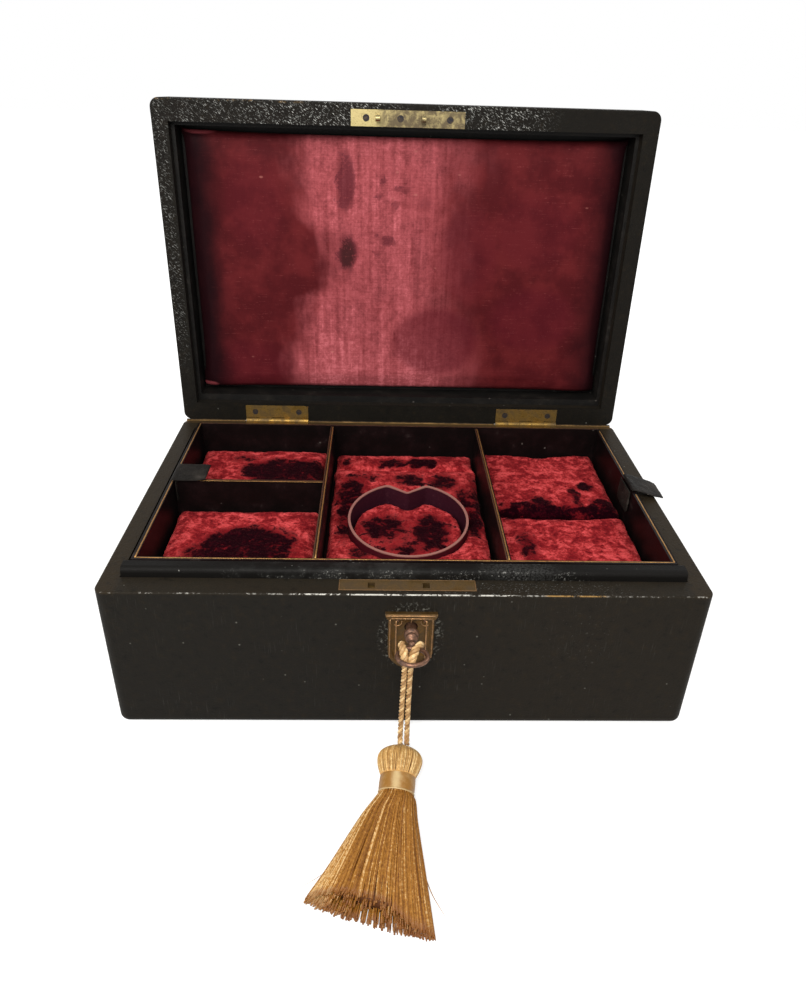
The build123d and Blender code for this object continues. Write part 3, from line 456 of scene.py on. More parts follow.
@dataclass(frozen=True)
class CaseLeather:
    """Black leather glued over the boards: smooth sides, grained rims with painted glints, worn edges."""

    cover: Cover
    side: Rgb = tone(27, 25, 22)
    faded: Rgb = tone(52, 42, 28)
    rim: Rgb = tone(33, 29, 23)
    pit: Rgb = tone(12, 12, 11)
    dust: Rgb = tone(132, 132, 124)
    worn: Rgb = tone(214, 212, 204)
    hide: Rgb = tone(168, 132, 78)
    brown: Rgb = tone(84, 64, 38)
    # The colour of the painted glints on the rims.
    painted_glint: Rgb = tone(206, 208, 204)
    front: float = -93.0
    joint: float = 81.0
    grain: float = 1.0

    def rim_mask(self, graph: Graph) -> Value:
        """1 on the rim where base and lid meet, 0 on the sides."""
        if self.cover is Cover.BASE:
            return graph.place()[2].rise(self.joint - 1.6, self.joint - 0.5)
        return graph.place_shut()[2].fall(self.joint + 0.8, self.joint + 2.0)

    def edge_wear(self, graph: Graph, x: Value, y: Value, z: Value, ragged: Value) -> tuple[Value, Value]:
        """Where the front edge is worn through.

        Args:
            graph: The material's graph.
            x: The place along the box.
            y: The place from front to back.
            z: The height.
            ragged: Fine noise that breaks the line.

        Returns:
            The pale worn line, and the share of it that shows tan hide.
        """
        long = graph.noise(9, (x, y, z), detail=2, seed=5)
        edge = self.joint if self.cover is Cover.BASE else self.joint + 0.3
        near = (y - self.front - 0.1) ** 2 + (z - edge) ** 2
        if self.cover is Cover.BASE:
            white = x.within(-2, 46, 8) * (ragged * 0.9 + long * 0.4).rise(0.56, 0.68)
            tan = x.within(76, 12, 4)
            gold = tan * (ragged * 0.8 + long * 0.5).rise(0.52, 0.64) * 0.9
            faint = (ragged * 0.8 + long * 0.5).rise(0.66, 0.8) * 0.5
            return near.fall(0.02, 0.4) * white.most(gold).most(faint) * (0.6 + ragged * 0.5), tan
        broken = (ragged * 0.7 + long * 0.6).rise(0.66, 0.8)
        return near.fall(0.3, 1.4) * broken * x.fall(-80, -50) * 0.5, x.fall(-60, -50)

    def scuffs(self, graph: Graph, x: Value, y: Value, z: Value, ragged: Value) -> Value:
        """Fine upright scuffs, pale specks and the rubbed ring round the escutcheon."""
        streak = graph.noise(1.0, (x / 0.5, y / 0.5, z / 12), detail=2, roughness=0.6, seed=7)
        clouds = graph.noise(24, detail=2, seed=9)
        fine = streak.rise(0.58, 0.8) * clouds.rise(0.42, 0.7) * 0.14
        distance, chance = graph.cells(5.0, seed=2)
        speck = distance.fall(0.05, 0.11) * chance.rise(0.78, 0.82) * chance
        marks = fine.most(speck * 0.5)
        if self.cover is Cover.LID:
            return marks
        outer = graph.patch(x, z, Spot(1.9, 57.0, 15.0, 19.5, 1.0, 0.1))
        halo = outer * ragged.rise(0.52, 0.68) * y.fall(-92.5, -91) * 0.5
        rub = graph.patch(x, z, Spot(80, 56, 14, 20, 1.0, 0.5))
        return marks.most(halo).most(rub * ragged.rise(0.6, 0.72) * 0.14)

    def painted_rim_highlights(self, graph: Graph, x: Value, y: Value, z: Value, ragged: Value) -> Value:
        """Painted highlights: bright slanting glints of the straight grain on the rims, strongest beside the
        plates.
        """
        slant, across = x * 0.8 + y * 0.6, y * 0.8 - x * 0.6
        hatch = graph.noise(1.0, (slant / 1.5, across / 0.42, z / 0.6), detail=2, roughness=0.6, seed=8)
        if self.cover is Cover.BASE:
            place = y.fall(-84, -82) * x.within(42, 40, 30) * 0.22
            return hatch.rise(0.6, 0.76) * place
        left, right = x.within(-46, 26, 26), x.within(46, 12, 30)
        far = x.within(-92, 30, 20) * 0.55
        side = x.fall(-134, -131) * y.fall(20, 70) * 0.45
        place = y.fall(-79, -77) * left.most(right).most(far)
        return (hatch * 0.8 + ragged * 0.3).rise(0.6, 0.78) * place.most(side)

    def material(self) -> bpy.types.Material:
        """The finished leather."""
        graph = Graph(f"{self.cover.value}_leather")
        x, y, z = graph.place() if self.cover is Cover.BASE else graph.place_shut()
        rim = self.rim_mask(graph)
        mottled = graph.noise(4.2, detail=5, roughness=0.7, seed=1)
        ragged = graph.noise(1.7, detail=4, roughness=0.7, seed=3)
        aged = (x + 40).rise(0, 120) * 0.12 + mottled.rise(0.5, 0.75) * 0.2
        colour = graph.mix(aged, self.side, self.faded)
        if self.cover is Cover.LID:
            top_edge = y.fall(self.front + 0.1, self.front + 0.8) * z.rise(103.5, 107.5)
            colour = graph.mix(top_edge * ragged.rise(0.36, 0.6) * 0.9, colour, self.hide)
        rim_tone = mottled.rise(0.5, 0.8) * 0.25
        if self.cover is Cover.BASE:
            rim_tone = rim_tone + abs(x).rise(129, 133) * 0.3
        rim_colour = graph.mix(rim_tone, self.rim, self.faded)
        if self.cover is Cover.BASE:
            back = y.rise(87.6, 89.2) * (x.rise(-80, 20) * 0.35 + 0.4)
            rim_colour = graph.mix(back, rim_colour, self.brown)
        colour = graph.mix(rim, colour, rim_colour)
        colour = graph.mix(mottled.fall(0.3, 0.46) * 0.5, colour, self.pit)
        colour = graph.mix(self.scuffs(graph, x, y, z, ragged), colour, self.dust)
        # Painted highlight: the rims' glints.
        colour = graph.mix(self.painted_rim_highlights(graph, x, y, z, ragged) * rim, colour, self.painted_glint)
        worn, tan = self.edge_wear(graph, x, y, z, ragged)
        colour = graph.mix(worn, colour, graph.mix(tan, self.worn, self.hide))
        pebble, _ = graph.cells(self.grain)
        normal = graph.bump(pebble * 0.5 + ragged * 0.6 * (rim + 0.35), 0.16)
        return graph.finish(colour, 0.5 - rim * 0.1 + mottled * 0.1, normal, {SPECULAR: 0.055})


@dataclass(frozen=True)
class SmoothLeather:
    """Thin smooth leather on the tray walls, linings and straps."""

    name: str
    colour: Rgb
    faded: Rgb
    polish: float = 0.4
    crease: float = 0.12
    dust: float = 0.35
    dust_size: float = 3.0
    gloss: float = 0.14

    def material(self) -> bpy.types.Material:
        """The finished leather."""
        graph = Graph(self.name)
        clouds = graph.noise(11, detail=4, roughness=0.65)
        creases = graph.noise(2.0, detail=4, roughness=0.7, distortion=0.8, seed=8)
        colour = graph.mix(clouds.rise(0.42, 0.72) * 0.7, self.colour, self.faded)
        colour = graph.mix(creases.rise(0.6, 0.76) * 0.3, colour, self.faded)
        distance, chance = graph.cells(self.dust_size, seed=6)
        specks = distance.fall(0.06, 0.16) * chance.rise(0.84, 0.88)
        dusty = (specks * 0.8).most(clouds.rise(0.62, 0.8) * 0.25) * self.dust
        colour = graph.mix(dusty, colour, tone(140, 132, 126))
        roughness = self.polish + clouds * 0.15 + dusty * 0.3
        return graph.finish(colour, roughness, graph.bump(creases, self.crease), {SPECULAR: self.gloss})


@dataclass(frozen=True)
class LipLeather:
    """The lip board's glossy black leather, with dust along its edges and a rubbed smudge."""

    colour: Rgb = tone(20, 19, 18)
    grey: Rgb = tone(52, 52, 51)
    dust: Rgb = tone(172, 172, 166)

    def material(self) -> bpy.types.Material:
        """The finished leather."""
        graph = Graph("lip_leather")
        x, y, z = graph.place()
        clouds = graph.noise(12, detail=4, roughness=0.65)
        grit = graph.noise(1.0, detail=4, roughness=0.75, seed=2)
        bloom = x.within(-32, 34, 20) * clouds.rise(0.4, 0.62) * 0.38
        smudge = graph.patch(x, y, Spot(52, -77.5, 15, 6, 1.0, 0.5)) * grit.rise(0.4, 0.6) * 0.85
        colour = graph.mix(bloom.most(smudge), self.colour, self.grey)
        ridge = y.within(-80.6, 0.5, 0.8).most(y.within(-74.0, 0.4, 0.6))
        chips = ridge * grit.rise(0.55, 0.68) * clouds.rise(0.46, 0.6) * x.within(0, 60, 30)
        distance, chance = graph.cells(3.4, seed=5)
        specks = distance.fall(0.05, 0.13) * chance.rise(0.84, 0.88)
        colour = graph.mix((chips * 0.7).most(specks * 0.4), colour, self.dust)
        return graph.finish(colour, 0.34 + clouds * 0.2, graph.bump(grit, 0.14), {SPECULAR: 0.05})


@dataclass(frozen=True)
class RingStrip:
    """The bracelet ring's leather strip: dark inside, a pale top edge, velvet-dark outside."""

    inside: Rgb = tone(44, 12, 24)
    outside: Rgb = tone(62, 10, 20)
    edge: Rgb = tone(142, 98, 90)
    centre: tuple[float, float] = (2.6, -14.0)
    radius: float = 32.6
    thickness: float = 0.7
    front_top: float = 70.0
    back_top: float = 76.9

    def material(self) -> bpy.types.Material:
        """The finished strip."""
        graph = Graph("ring_leather")
        x, y, z = graph.place()
        slope = (self.back_top - self.front_top) / (2 * self.radius)
        below = (y - (self.centre[1] - self.radius)) * slope + self.front_top - z
        grain = graph.noise(1.4, detail=4, roughness=0.7)
        out = (x - self.centre[0]) ** 2 + (y - self.centre[1]) ** 2
        outward = out.rise((self.radius - self.thickness) ** 2, self.radius**2)
        colour = graph.mix(outward, self.inside, self.outside)
        colour = graph.mix(grain.rise(0.55, 0.8) * 0.3, colour, tone(92, 52, 60))
        colour = graph.mix(below.fall(0.2, 0.7) * (0.8 + grain * 0.3), colour, self.edge)
        return graph.finish(colour, 0.45 + grain * 0.2, graph.bump(grain, 0.1), {SPECULAR: 0.15})


@dataclass(frozen=True)
class CrushedVelvet:
    """Crimson velvet: its raised pile lighter and pinkish as a painted sheen, its low places darker as
    painted shade, and dark patches that are crushed pile and painted shadow.
    """

    painted_sheen: Rgb = tone(212, 80, 82)
    body: Rgb = tone(160, 44, 46)
    painted_hollow_shade: Rgb = tone(112, 22, 28)
    crushed: Rgb = tone(20, 3, 8)

    def material(self) -> bpy.types.Material:
        """The finished velvet."""
        graph = Graph("crushed_velvet")
        crush = graph.attribute("crush")
        folds = graph.noise(9.0, detail=2, roughness=0.6, distortion=0.6, seed=5)
        clumps = graph.noise(3.4, detail=4, roughness=0.65, distortion=0.6)
        tufts = graph.noise(1.2, detail=3, roughness=0.7, distortion=0.4, seed=3)
        uneven = (clumps - 0.5) * 1.5 + (tufts - 0.5) * 0.9
        # Dark patches from the stored spots: crushed pile, and painted shadow along the slits.
        dark = (crush + ((folds - 0.5) * 2.4 + uneven * 1.2) * crush.rise(0.0, 0.15)).rise(0.18, 0.8)
        # Painted shade and sheen: low places of the pile darker, raised places lighter and pinkish.
        level = folds * 0.62 + clumps * 0.48 + tufts * 0.32
        colour = graph.mix(level.rise(0.58, 0.78), self.painted_hollow_shade, self.body)
        colour = graph.mix(level.rise(0.68, 0.88), colour, self.painted_sheen)
        # Painted shade in the gaps between the clumps.
        colour = graph.mix((clumps * 0.4 + tufts * 0.7).fall(0.4, 0.5) * 0.6, colour, tone(72, 8, 16))
        deep = graph.mix(uneven.rise(0.0, 0.3) * 0.6, self.crushed, tone(58, 8, 18))
        colour = graph.mix(dark, colour, deep)
        sheen = {"Sheen Weight": 0.04, "Sheen Roughness": 0.4, "Sheen Tint": (0.9, 0.3, 0.32, 1.0)}
        normal = graph.bump(tufts * 0.6 + clumps * 0.9, 1.0)
        return graph.finish(colour, 0.9, normal, {SPECULAR: 0.0, **sheen})


@dataclass(frozen=True)
class LidSilk:
    """Burgundy satin with a fine cross rib, a painted highlight down the middle, painted shade towards its
    edges, and stains.
    """

    # The colour of the painted highlight.
    bright: Rgb = tone(178, 88, 94)
    body: Rgb = tone(94, 31, 34)
    shade: Rgb = tone(74, 22, 26)
    # The colour of the painted shade at the silk's edges.
    edge: Rgb = tone(20, 9, 13)
    stain: Rgb = tone(70, 22, 32)

    dark: tuple[Spot, ...] = (
        Spot(-34.7, -51, 5.4, 14.5, 0.85, 0.55),
        Spot(-34.5, -12.8, 5.8, 10.5, 0.95, 0.5),
        Spot(-13.3, -54.3, 2.0, 1.8, 0.75, 0.5),
        Spot(-15.7, -46.0, 2.6, 1.8, 0.6, 0.5),
        Spot(-2.1, -49.2, 4.2, 2.0, 0.7, 0.5),
        Spot(-6.0, -38.6, 2.8, 3.0, 0.6, 0.6),
        Spot(-9.9, -21.4, 4.6, 3.2, 0.75, 0.5),
        Spot(-17.0, -24.4, 2.0, 1.6, 0.7, 0.5),
        Spot(-17.0, -12.0, 1.8, 1.5, 0.7, 0.5),
        Spot(12.0, -39.0, 4.0, 4.0, 0.45, 0.6),
    )
    soft: tuple[Spot, ...] = (
        Spot(21, 42, 26, 21, 0.95, 0.16),
        Spot(82, 27, 26, 19, 0.8, 0.25),
        Spot(39, -12, 17, 26, 0.55, 0.25),
        Spot(78, -26, 24, 20, 0.45, 0.3),
        Spot(-88, -40, 14, 22, 0.5, 0.6),
        Spot(-98, 62, 26, 16, 0.7, 0.5),
    )
    burnt: Spot = Spot(-34.0, -11.0, 4.0, 8.0, 1.0, 0.6)
    torn: tuple[Spot, ...] = (Spot(-117, -77, 7, 1.6, 0.5, 0.6), Spot(-124, 73, 4, 1.4, 0.6, 0.6))

    def painted_highlight_band(self, graph: Graph, x: Value, y: Value, wave: Value) -> Value:
        """The painted highlight: the satin's sheen as a rose band down the middle, wider below, with ragged
        sides.
        """
        left = y.within(-8, 14, 10) * 16 - 62 - y.rise(20, 60) * 8
        right = 30 - y.within(-10, 30, 20) * 8 + y.rise(30, 70) * 8
        sway = (wave - 0.5) * 34
        return (x - left + sway).rise(-11, 11) * (x - right + sway).fall(-30, 26)

    def material(self) -> bpy.types.Material:
        """The finished satin."""
        graph = Graph("lid_silk")
        x, y, z = graph.place_shut()
        wave = graph.noise(1.0, (x / 16, y / 34, z / 60), detail=3, roughness=0.6)
        upright = graph.noise(1.0, (x / 3.2, y / 60, z / 60), detail=3, roughness=0.65, seed=2)
        level = graph.noise(1.0, (x / 14, y / 0.5, z / 20), detail=3, roughness=0.7, seed=4)
        mottle = graph.noise(6.0, detail=4, roughness=0.7, distortion=0.3, seed=5)
        nap = graph.noise(1.5, detail=4, roughness=0.75, seed=6)
        cloud = graph.noise(17, detail=3, roughness=0.6, seed=8)
        band = self.painted_highlight_band(graph, x, y, wave)
        colour = graph.mix(cloud.rise(0.35, 0.65), self.shade, self.body)
        weave = (nap - 0.5) * 1.1 + (level - 0.5) * 0.7 + (upright - 0.5) * 1.1
        # Painted highlight: the rose band, a little stronger towards the bottom.
        strength = band * (0.6 + y.rise(20, 66) * 0.22 + (mottle - 0.5) + weave)
        colour = graph.mix(strength, colour, self.bright)
        # Painted highlight: the band's brightest places.
        colour = graph.mix(strength.rise(0.7, 1.15) * 0.5, colour, tone(212, 120, 128))
        colour = graph.mix(graph.patches(x, y, self.soft) * 0.62, colour, tone(82, 22, 32))
        ragged = (nap - 0.5) * 2.4 + (mottle - 0.5) * 2.0
        across = x + (mottle - 0.5) * 9 + (nap - 0.5) * 4
        along = y + (cloud - 0.5) * 16 + (nap - 0.5) * 5
        stained = graph.patches(across, along, self.dark)
        stained = (stained + ragged * stained).rise(0.2, 0.9)
        colour = graph.mix(stained * 0.75, colour, self.stain)
        burnt = graph.patch(x, y, self.burnt) * stained
        colour = graph.mix(burnt * 0.8, colour, tone(46, 26, 26))
        colour = graph.mix(level.rise(0.55, 0.8) * 0.3, colour, self.shade)
        colour = graph.mix((level * 0.6 + nap * 0.5).fall(0.38, 0.48) * 0.3, colour, tone(150, 74, 74))
        pulls, chance = graph.cells(7.0, (x * 0.55, y, z), seed=12)
        pale = pulls.fall(0.05, 0.12) * chance.rise(0.78, 0.84) * 0.4
        colour = graph.mix(pale, colour, tone(178, 112, 104))
        # Painted shade: darker towards the silk's sides and its front and back edges.
        side = (-x - 101 + (wave - 0.5) * 12).rise(0, 20).most((x - 100 + (wave - 0.5) * 12).rise(0, 26))
        outer = abs(x - 8).rise(30, 60)
        front, back = (-y - 70).rise(0, 8) * 0.5 * outer, (y - 68).rise(0, 8) * 0.3 * outer
        colour = graph.mix(side.most(front).most(back) * 0.92, colour, self.edge)
        colour = graph.mix(graph.patches(x, y, self.torn), colour, tone(180, 84, 92))
        return graph.finish(colour, 0.55, graph.bump(level * 0.7 + upright * 0.3, 0.08), {SPECULAR: 0.03})


@dataclass(frozen=True)
class AgedMetal:
    """Brass or bronze with a brighter rubbed metal under a dull patina, and on the lid a painted highlight
    patch.
    """

    name: str
    rubbed: Rgb
    dull: Rgb
    dull_share: float = 0.5
    grain: float = 3.0
    roughness: float = 0.36
    bright: Spot | None = None

    def material(self) -> bpy.types.Material:
        """The finished metal."""
        graph = Graph(self.name)
        patina = graph.noise(self.grain, detail=5, roughness=0.7, distortion=0.5)
        fine = graph.noise(0.6, detail=3, roughness=0.7, seed=3)
        level = 0.5 + (0.5 - self.dull_share) * 0.5
        covered = patina.rise(level - 0.2, level + 0.2)
        # Painted highlight: the patina is cleared where the bright patch lies.
        if self.bright is not None:
            x, y, _ = graph.place_shut()
            covered = covered * (1 - graph.patch(x, y, self.bright))
        colour = graph.mix(covered, self.rubbed, self.dull)
        colour = graph.mix(fine.fall(0.3, 0.45) * 0.6, colour, tuple(part * 0.3 for part in self.dull))
        roughness = self.roughness + covered * 0.2 + fine * 0.1
        normal = graph.bump(fine * 0.6 + patina * 0.6, 0.09)
        return graph.finish(colour, roughness, normal, {"Metallic": 1 - covered * 0.5})


@dataclass(frozen=True)
class SilkThread:
    """Golden silk, each thread a little lighter or darker than the next, with painted glints for the
    highlights of its twist.
    """

    name: str
    light: Rgb
    deep: Rgb
    end: Rgb
    gloss: float = 0.3
    painted_glint: float = 0.3
    twist: float = 1.1

    def material(self) -> bpy.types.Material:
        """The finished thread."""
        graph = Graph(self.name)
        shade = graph.attribute("shade")
        run = graph.attribute("run")
        fibre = graph.noise(self.twist, detail=3, roughness=0.75)
        colour = graph.mix(shade * 0.8 + (fibre - 0.5) * 1.3, self.deep, self.light)
        # Painted highlight: glints where fibre and shade are high.
        painted_glint = (fibre * 0.7 + shade * 0.4).rise(0.62, 0.78) * self.painted_glint
        colour = graph.mix(painted_glint, colour, tone(255, 238, 190))
        colour = graph.mix((run + (fibre - 0.5) * 0.08).rise(0.94, 1.0) * 0.7, colour, self.end)
        return graph.finish(colour, self.gloss + fibre * 0.2, graph.bump(fibre, 0.12), {SPECULAR: 0.3})


@dataclass(frozen=True)
class PlainFinish:
    """A hidden or simple surface: softwood, paper, cloth or steel."""

    name: str
    light: Rgb
    dark: Rgb
    stretch: Triple = (1.0, 1.0, 1.0)
    grain: float = 3.0
    roughness: float = 0.7
    metallic: float = 0.0
    relief: float = 0.1

    def material(self) -> bpy.types.Material:
        """The finished surface."""
        graph = Graph(self.name)
        where = tuple(axis / size for axis, size in zip(graph.place(), self.stretch))
        rings = graph.noise(self.grain, where, detail=5, roughness=0.65, distortion=0.7)
        colour = graph.mix(rings.rise(0.35, 0.65), self.light, self.dark)
        others = {"Metallic": self.metallic, SPECULAR: 0.2}
        return graph.finish(colour, self.roughness + rings * 0.15, graph.bump(rings, self.relief), others)


class Strands:
    """Many thin round threads gathered into one mesh, each with its own shade."""

    def __init__(self) -> None:
        """Start with no thread."""
        self.points: list[Vector] = []
        self.faces: list[tuple[int, ...]] = []
        self.shades: list[float] = []
        self.runs: list[float] = []

    def add(
        self,
        line: Sequence[Vector],
        radius: Callable[[float], float],
        shade: float,
        sides: int = 6,
        flat: float = 1.0,
    ) -> None:
        """Lay one thread along a line, closed at both ends.

        Args:
            line: The points of its middle line, in metres.
            radius: Its radius in metres at a share of its length.
            shade: How light it is, from 0 to 1.
            sides: How many sides its section has.
            flat: Its height over its width.
        """
        first = len(self.points)
        count = len(line)
        side = Vector((0, 0, 1))
        for index, here in enumerate(line):
            ahead = line[min(index + 1, count - 1)] - line[max(index - 1, 0)]
            ahead.normalize()
            side = side - ahead * side.dot(ahead)
            if side.length < 1e-6:
                side = ahead.orthogonal()
            side.normalize()
            across = ahead.cross(side)
            run = index / (count - 1)
            size = radius(run)
            for corner in range(sides):
                angle = 2 * math.pi * corner / sides
                self.points.append(here + (side * math.cos(angle) * flat + across * math.sin(angle)) * size)
                self.shades.append(shade)
                self.runs.append(run)
        self.faces += tube_faces(first, count, sides, closed=True)

    def lift(self, floor: float) -> None:
        """Raise every point that is below a level to it."""
        for place in self.points:
            place.z = max(place.z, floor)

    def build(self, name: str, material: bpy.types.Material) -> bpy.types.Object:
        """Make the mesh object.

        Args:
            name: The object's name.
            material: Its material.

        Returns:
            The object, linked to the scene.
        """
        made = mesh_object(name, self.points, self.faces, material)
        store(made, shade=self.shades, run=self.runs)
        return made


def tube_faces(first: int, rings: int, around: int, closed: bool = False) -> list[tuple[int, ...]]:
    """The faces of a tube whose corners are given ring by ring.

    Args:
        first: The number of its first corner.
        rings: How many rings it has.
        around: How many corners each ring has.
        closed: Whether both ends have a face.

    Returns:
        The faces, as numbers of corners.
    """
    faces: list[tuple[int, ...]] = []
    for low in range(first, first + (rings - 1) * around, around):
        for corner in range(around):
            following = (corner + 1) % around
            faces.append((low + corner, low + following, low + around + following, low + around + corner))
    if closed:
        faces.append(tuple(first + corner for corner in reversed(range(around))))
        faces.append(tuple(first + (rings - 1) * around + corner for corner in range(around)))
    return faces


def store(piece: bpy.types.Object, **layers: Sequence[float]) -> None:
    """Store numbers for a mesh's corners, under the names that the finishes read."""
    for label, values in layers.items():
        layer = piece.data.attributes.new(label, "FLOAT", "POINT")
        layer.data.foreach_set("value", values)


def add_subdivision(piece: bpy.types.Object) -> None:
    """Add one smoothing subdivision to a piece."""
    finer = piece.modifiers.new("finer", "SUBSURF")
    finer.levels = 1
    finer.render_levels = 1


def mesh_object(
    name: str, points: Sequence[Vector], faces: Sequence[Sequence[int]], material: bpy.types.Material
) -> bpy.types.Object:
    """Make a smooth-shaded mesh object.

    Args:
        name: Its name.
        points: Its corners, in metres.
        faces: Its faces, as numbers of corners.
        material: Its material.

    Returns:
        The object, linked to the scene.
    """
    mesh = bpy.data.meshes.new(name)
    mesh.from_pydata([tuple(place) for place in points], [], [tuple(face) for face in faces])
    mesh.polygons.foreach_set("use_smooth", [True] * len(mesh.polygons))
    mesh.materials.append(material)
    mesh.update()
    made = bpy.data.objects.new(name, mesh)
    bpy.context.scene.collection.objects.link(made)
    return made


def steps(start: Vector, end: Vector, count: int) -> list[Vector]:
    """Evenly spaced points from start to end, both included."""
    return [start.lerp(end, index / (count - 1)) for index in range(count)]


def through(places: Sequence[Vector], count: int) -> list[Vector]:
    """A smooth line through a few places.

    Args:
        places: The places, in order.
        count: How many points lie on each stretch between two of them.

    Returns:
        The points of the line.
    """
    ends = [places[0] * 2 - places[1], *places, places[-1] * 2 - places[-2]]
    line = []
    for index in range(1, len(ends) - 2):
        before, here, following, after = ends[index - 1 : index + 3]
        reach = (following - here).length
        leaving = (following - before) * (reach / ((following - here).length + (here - before).length))
        arriving = (after - here) * (reach / ((after - following).length + (following - here).length))
        for step in range(count):
            share = step / count
            line.append(
                here * (2 * share**3 - 3 * share**2 + 1)
                + leaving * (share**3 - 2 * share**2 + share)
                + following * (3 * share**2 - 2 * share**3)
                + arriving * (share**3 - share**2)
            )
    line.append(places[-1].copy())
    return line


@dataclass
class KeyCord:
    """The limp gold cord: up from the tassel, hitched round the key's bow, and down again, in metres."""

    route: tuple[Triple, ...] = (
        (-0.00215, -0.11525, 0.01090),
        (-0.00215, -0.11210, 0.01150),
        (-0.00215, -0.11050, 0.01470),
        (-0.00201, -0.11080, 0.02257),
        (-0.00167, -0.11210, 0.04248),
        (-0.00135, -0.11590, 0.06100),
        (-0.00210, -0.11330, 0.06660),
        (-0.00290, -0.10890, 0.06660),
        (-0.00280, -0.10580, 0.06320),
        (-0.00060, -0.10580, 0.05970),
        (0.00440, -0.10580, 0.05970),
        (0.00650, -0.10590, 0.06320),
        (0.00560, -0.10910, 0.06670),
        (0.00300, -0.11320, 0.06690),
        (0.00110, -0.11590, 0.06100),
        (0.00104, -0.11210, 0.04248),
        (0.00098, -0.11080, 0.02257),
        (0.00095, -0.11050, 0.01470),
        (0.00095, -0.11210, 0.01150),
        (0.00095, -0.11525, 0.01090),
    )
    diameter: float = 0.0025
    length: float = 0.1484
    plies: int = 3
    lay: float = 0.0070
    ply_share: float = 0.5
    spread: float = 1.06
    loosened: tuple[float, float] = (0.0594, 0.0672)
    easing: float = 0.0012
    swell: float = 0.5
    hitch_front: float = -0.1095

    def centreline(self) -> list[Vector]:
        """The points of the route's own spline."""
        curve = bpy.data.curves.new("cord_route", "CURVE")
        curve.dimensions = "3D"
        curve.resolution_u = 24
        spline = curve.splines.new("NURBS")
        spline.points.add(len(self.route) - 1)
        for control, place in zip(spline.points, self.route):
            control.co = (*place, 1)
        spline.order_u = 3
        spline.use_endpoint_u = True
        holder = bpy.data.objects.new("cord_route", curve)
        mesh = bpy.data.meshes.new_from_object(holder)
        line = [corner.co.copy() for corner in mesh.vertices]
        bpy.data.objects.remove(holder)
        bpy.data.curves.remove(curve)
        bpy.data.meshes.remove(mesh)
        return line

    def twisted(self, line: Sequence[Vector]) -> Strands:
        """The plies of the rope, laid round a line."""
        ply = self.diameter / 2 * self.ply_share * self.spread
        offset = self.diameter / 2 * self.spread - ply
        low, high = self.loosened
        swells = []
        for place in line:
            share = smooth((place.z - low) / self.easing) * smooth((high - place.z) / self.easing)
            swells.append(1 + self.swell * share * (place.y < self.hitch_front))
        strands = Strands()
        for number in range(self.plies):
            side = Vector((1, 0, 0))
            travelled = 0.0
            path = []
            for index, here in enumerate(line):
                ahead = line[min(index + 1, len(line) - 1)] - line[max(index - 1, 0)]
                ahead.normalize()
                side = (side - ahead * side.dot(ahead)).normalized()
                if index:
                    travelled += (here - line[index - 1]).length
                angle = 2 * math.pi * (travelled / self.lay + number / self.plies)
                out = side * math.cos(angle) + ahead.cross(side) * math.sin(angle)
                path.append(here + out * offset * swells[index])
            # Painted shade: each ply has its own shade, so the twist shows as light and dark bands.
            shade = 0.2 + 0.65 * number / (self.plies - 1)
            strands.add(path, lambda run: ply * swells[round(run * (len(line) - 1))], shade, 8)
        return strands

    def build(self, material: bpy.types.Material) -> tuple[bpy.types.Object, list[Vector]]:
        """Make the cord.

        Args:
            material: The thread's finish.

        Returns:
            The cord and its middle line.
        """
        line = self.centreline()
        cord = self.twisted(line).build("cord_twisted", material)
        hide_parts("tassel_cord")
        return cord, line


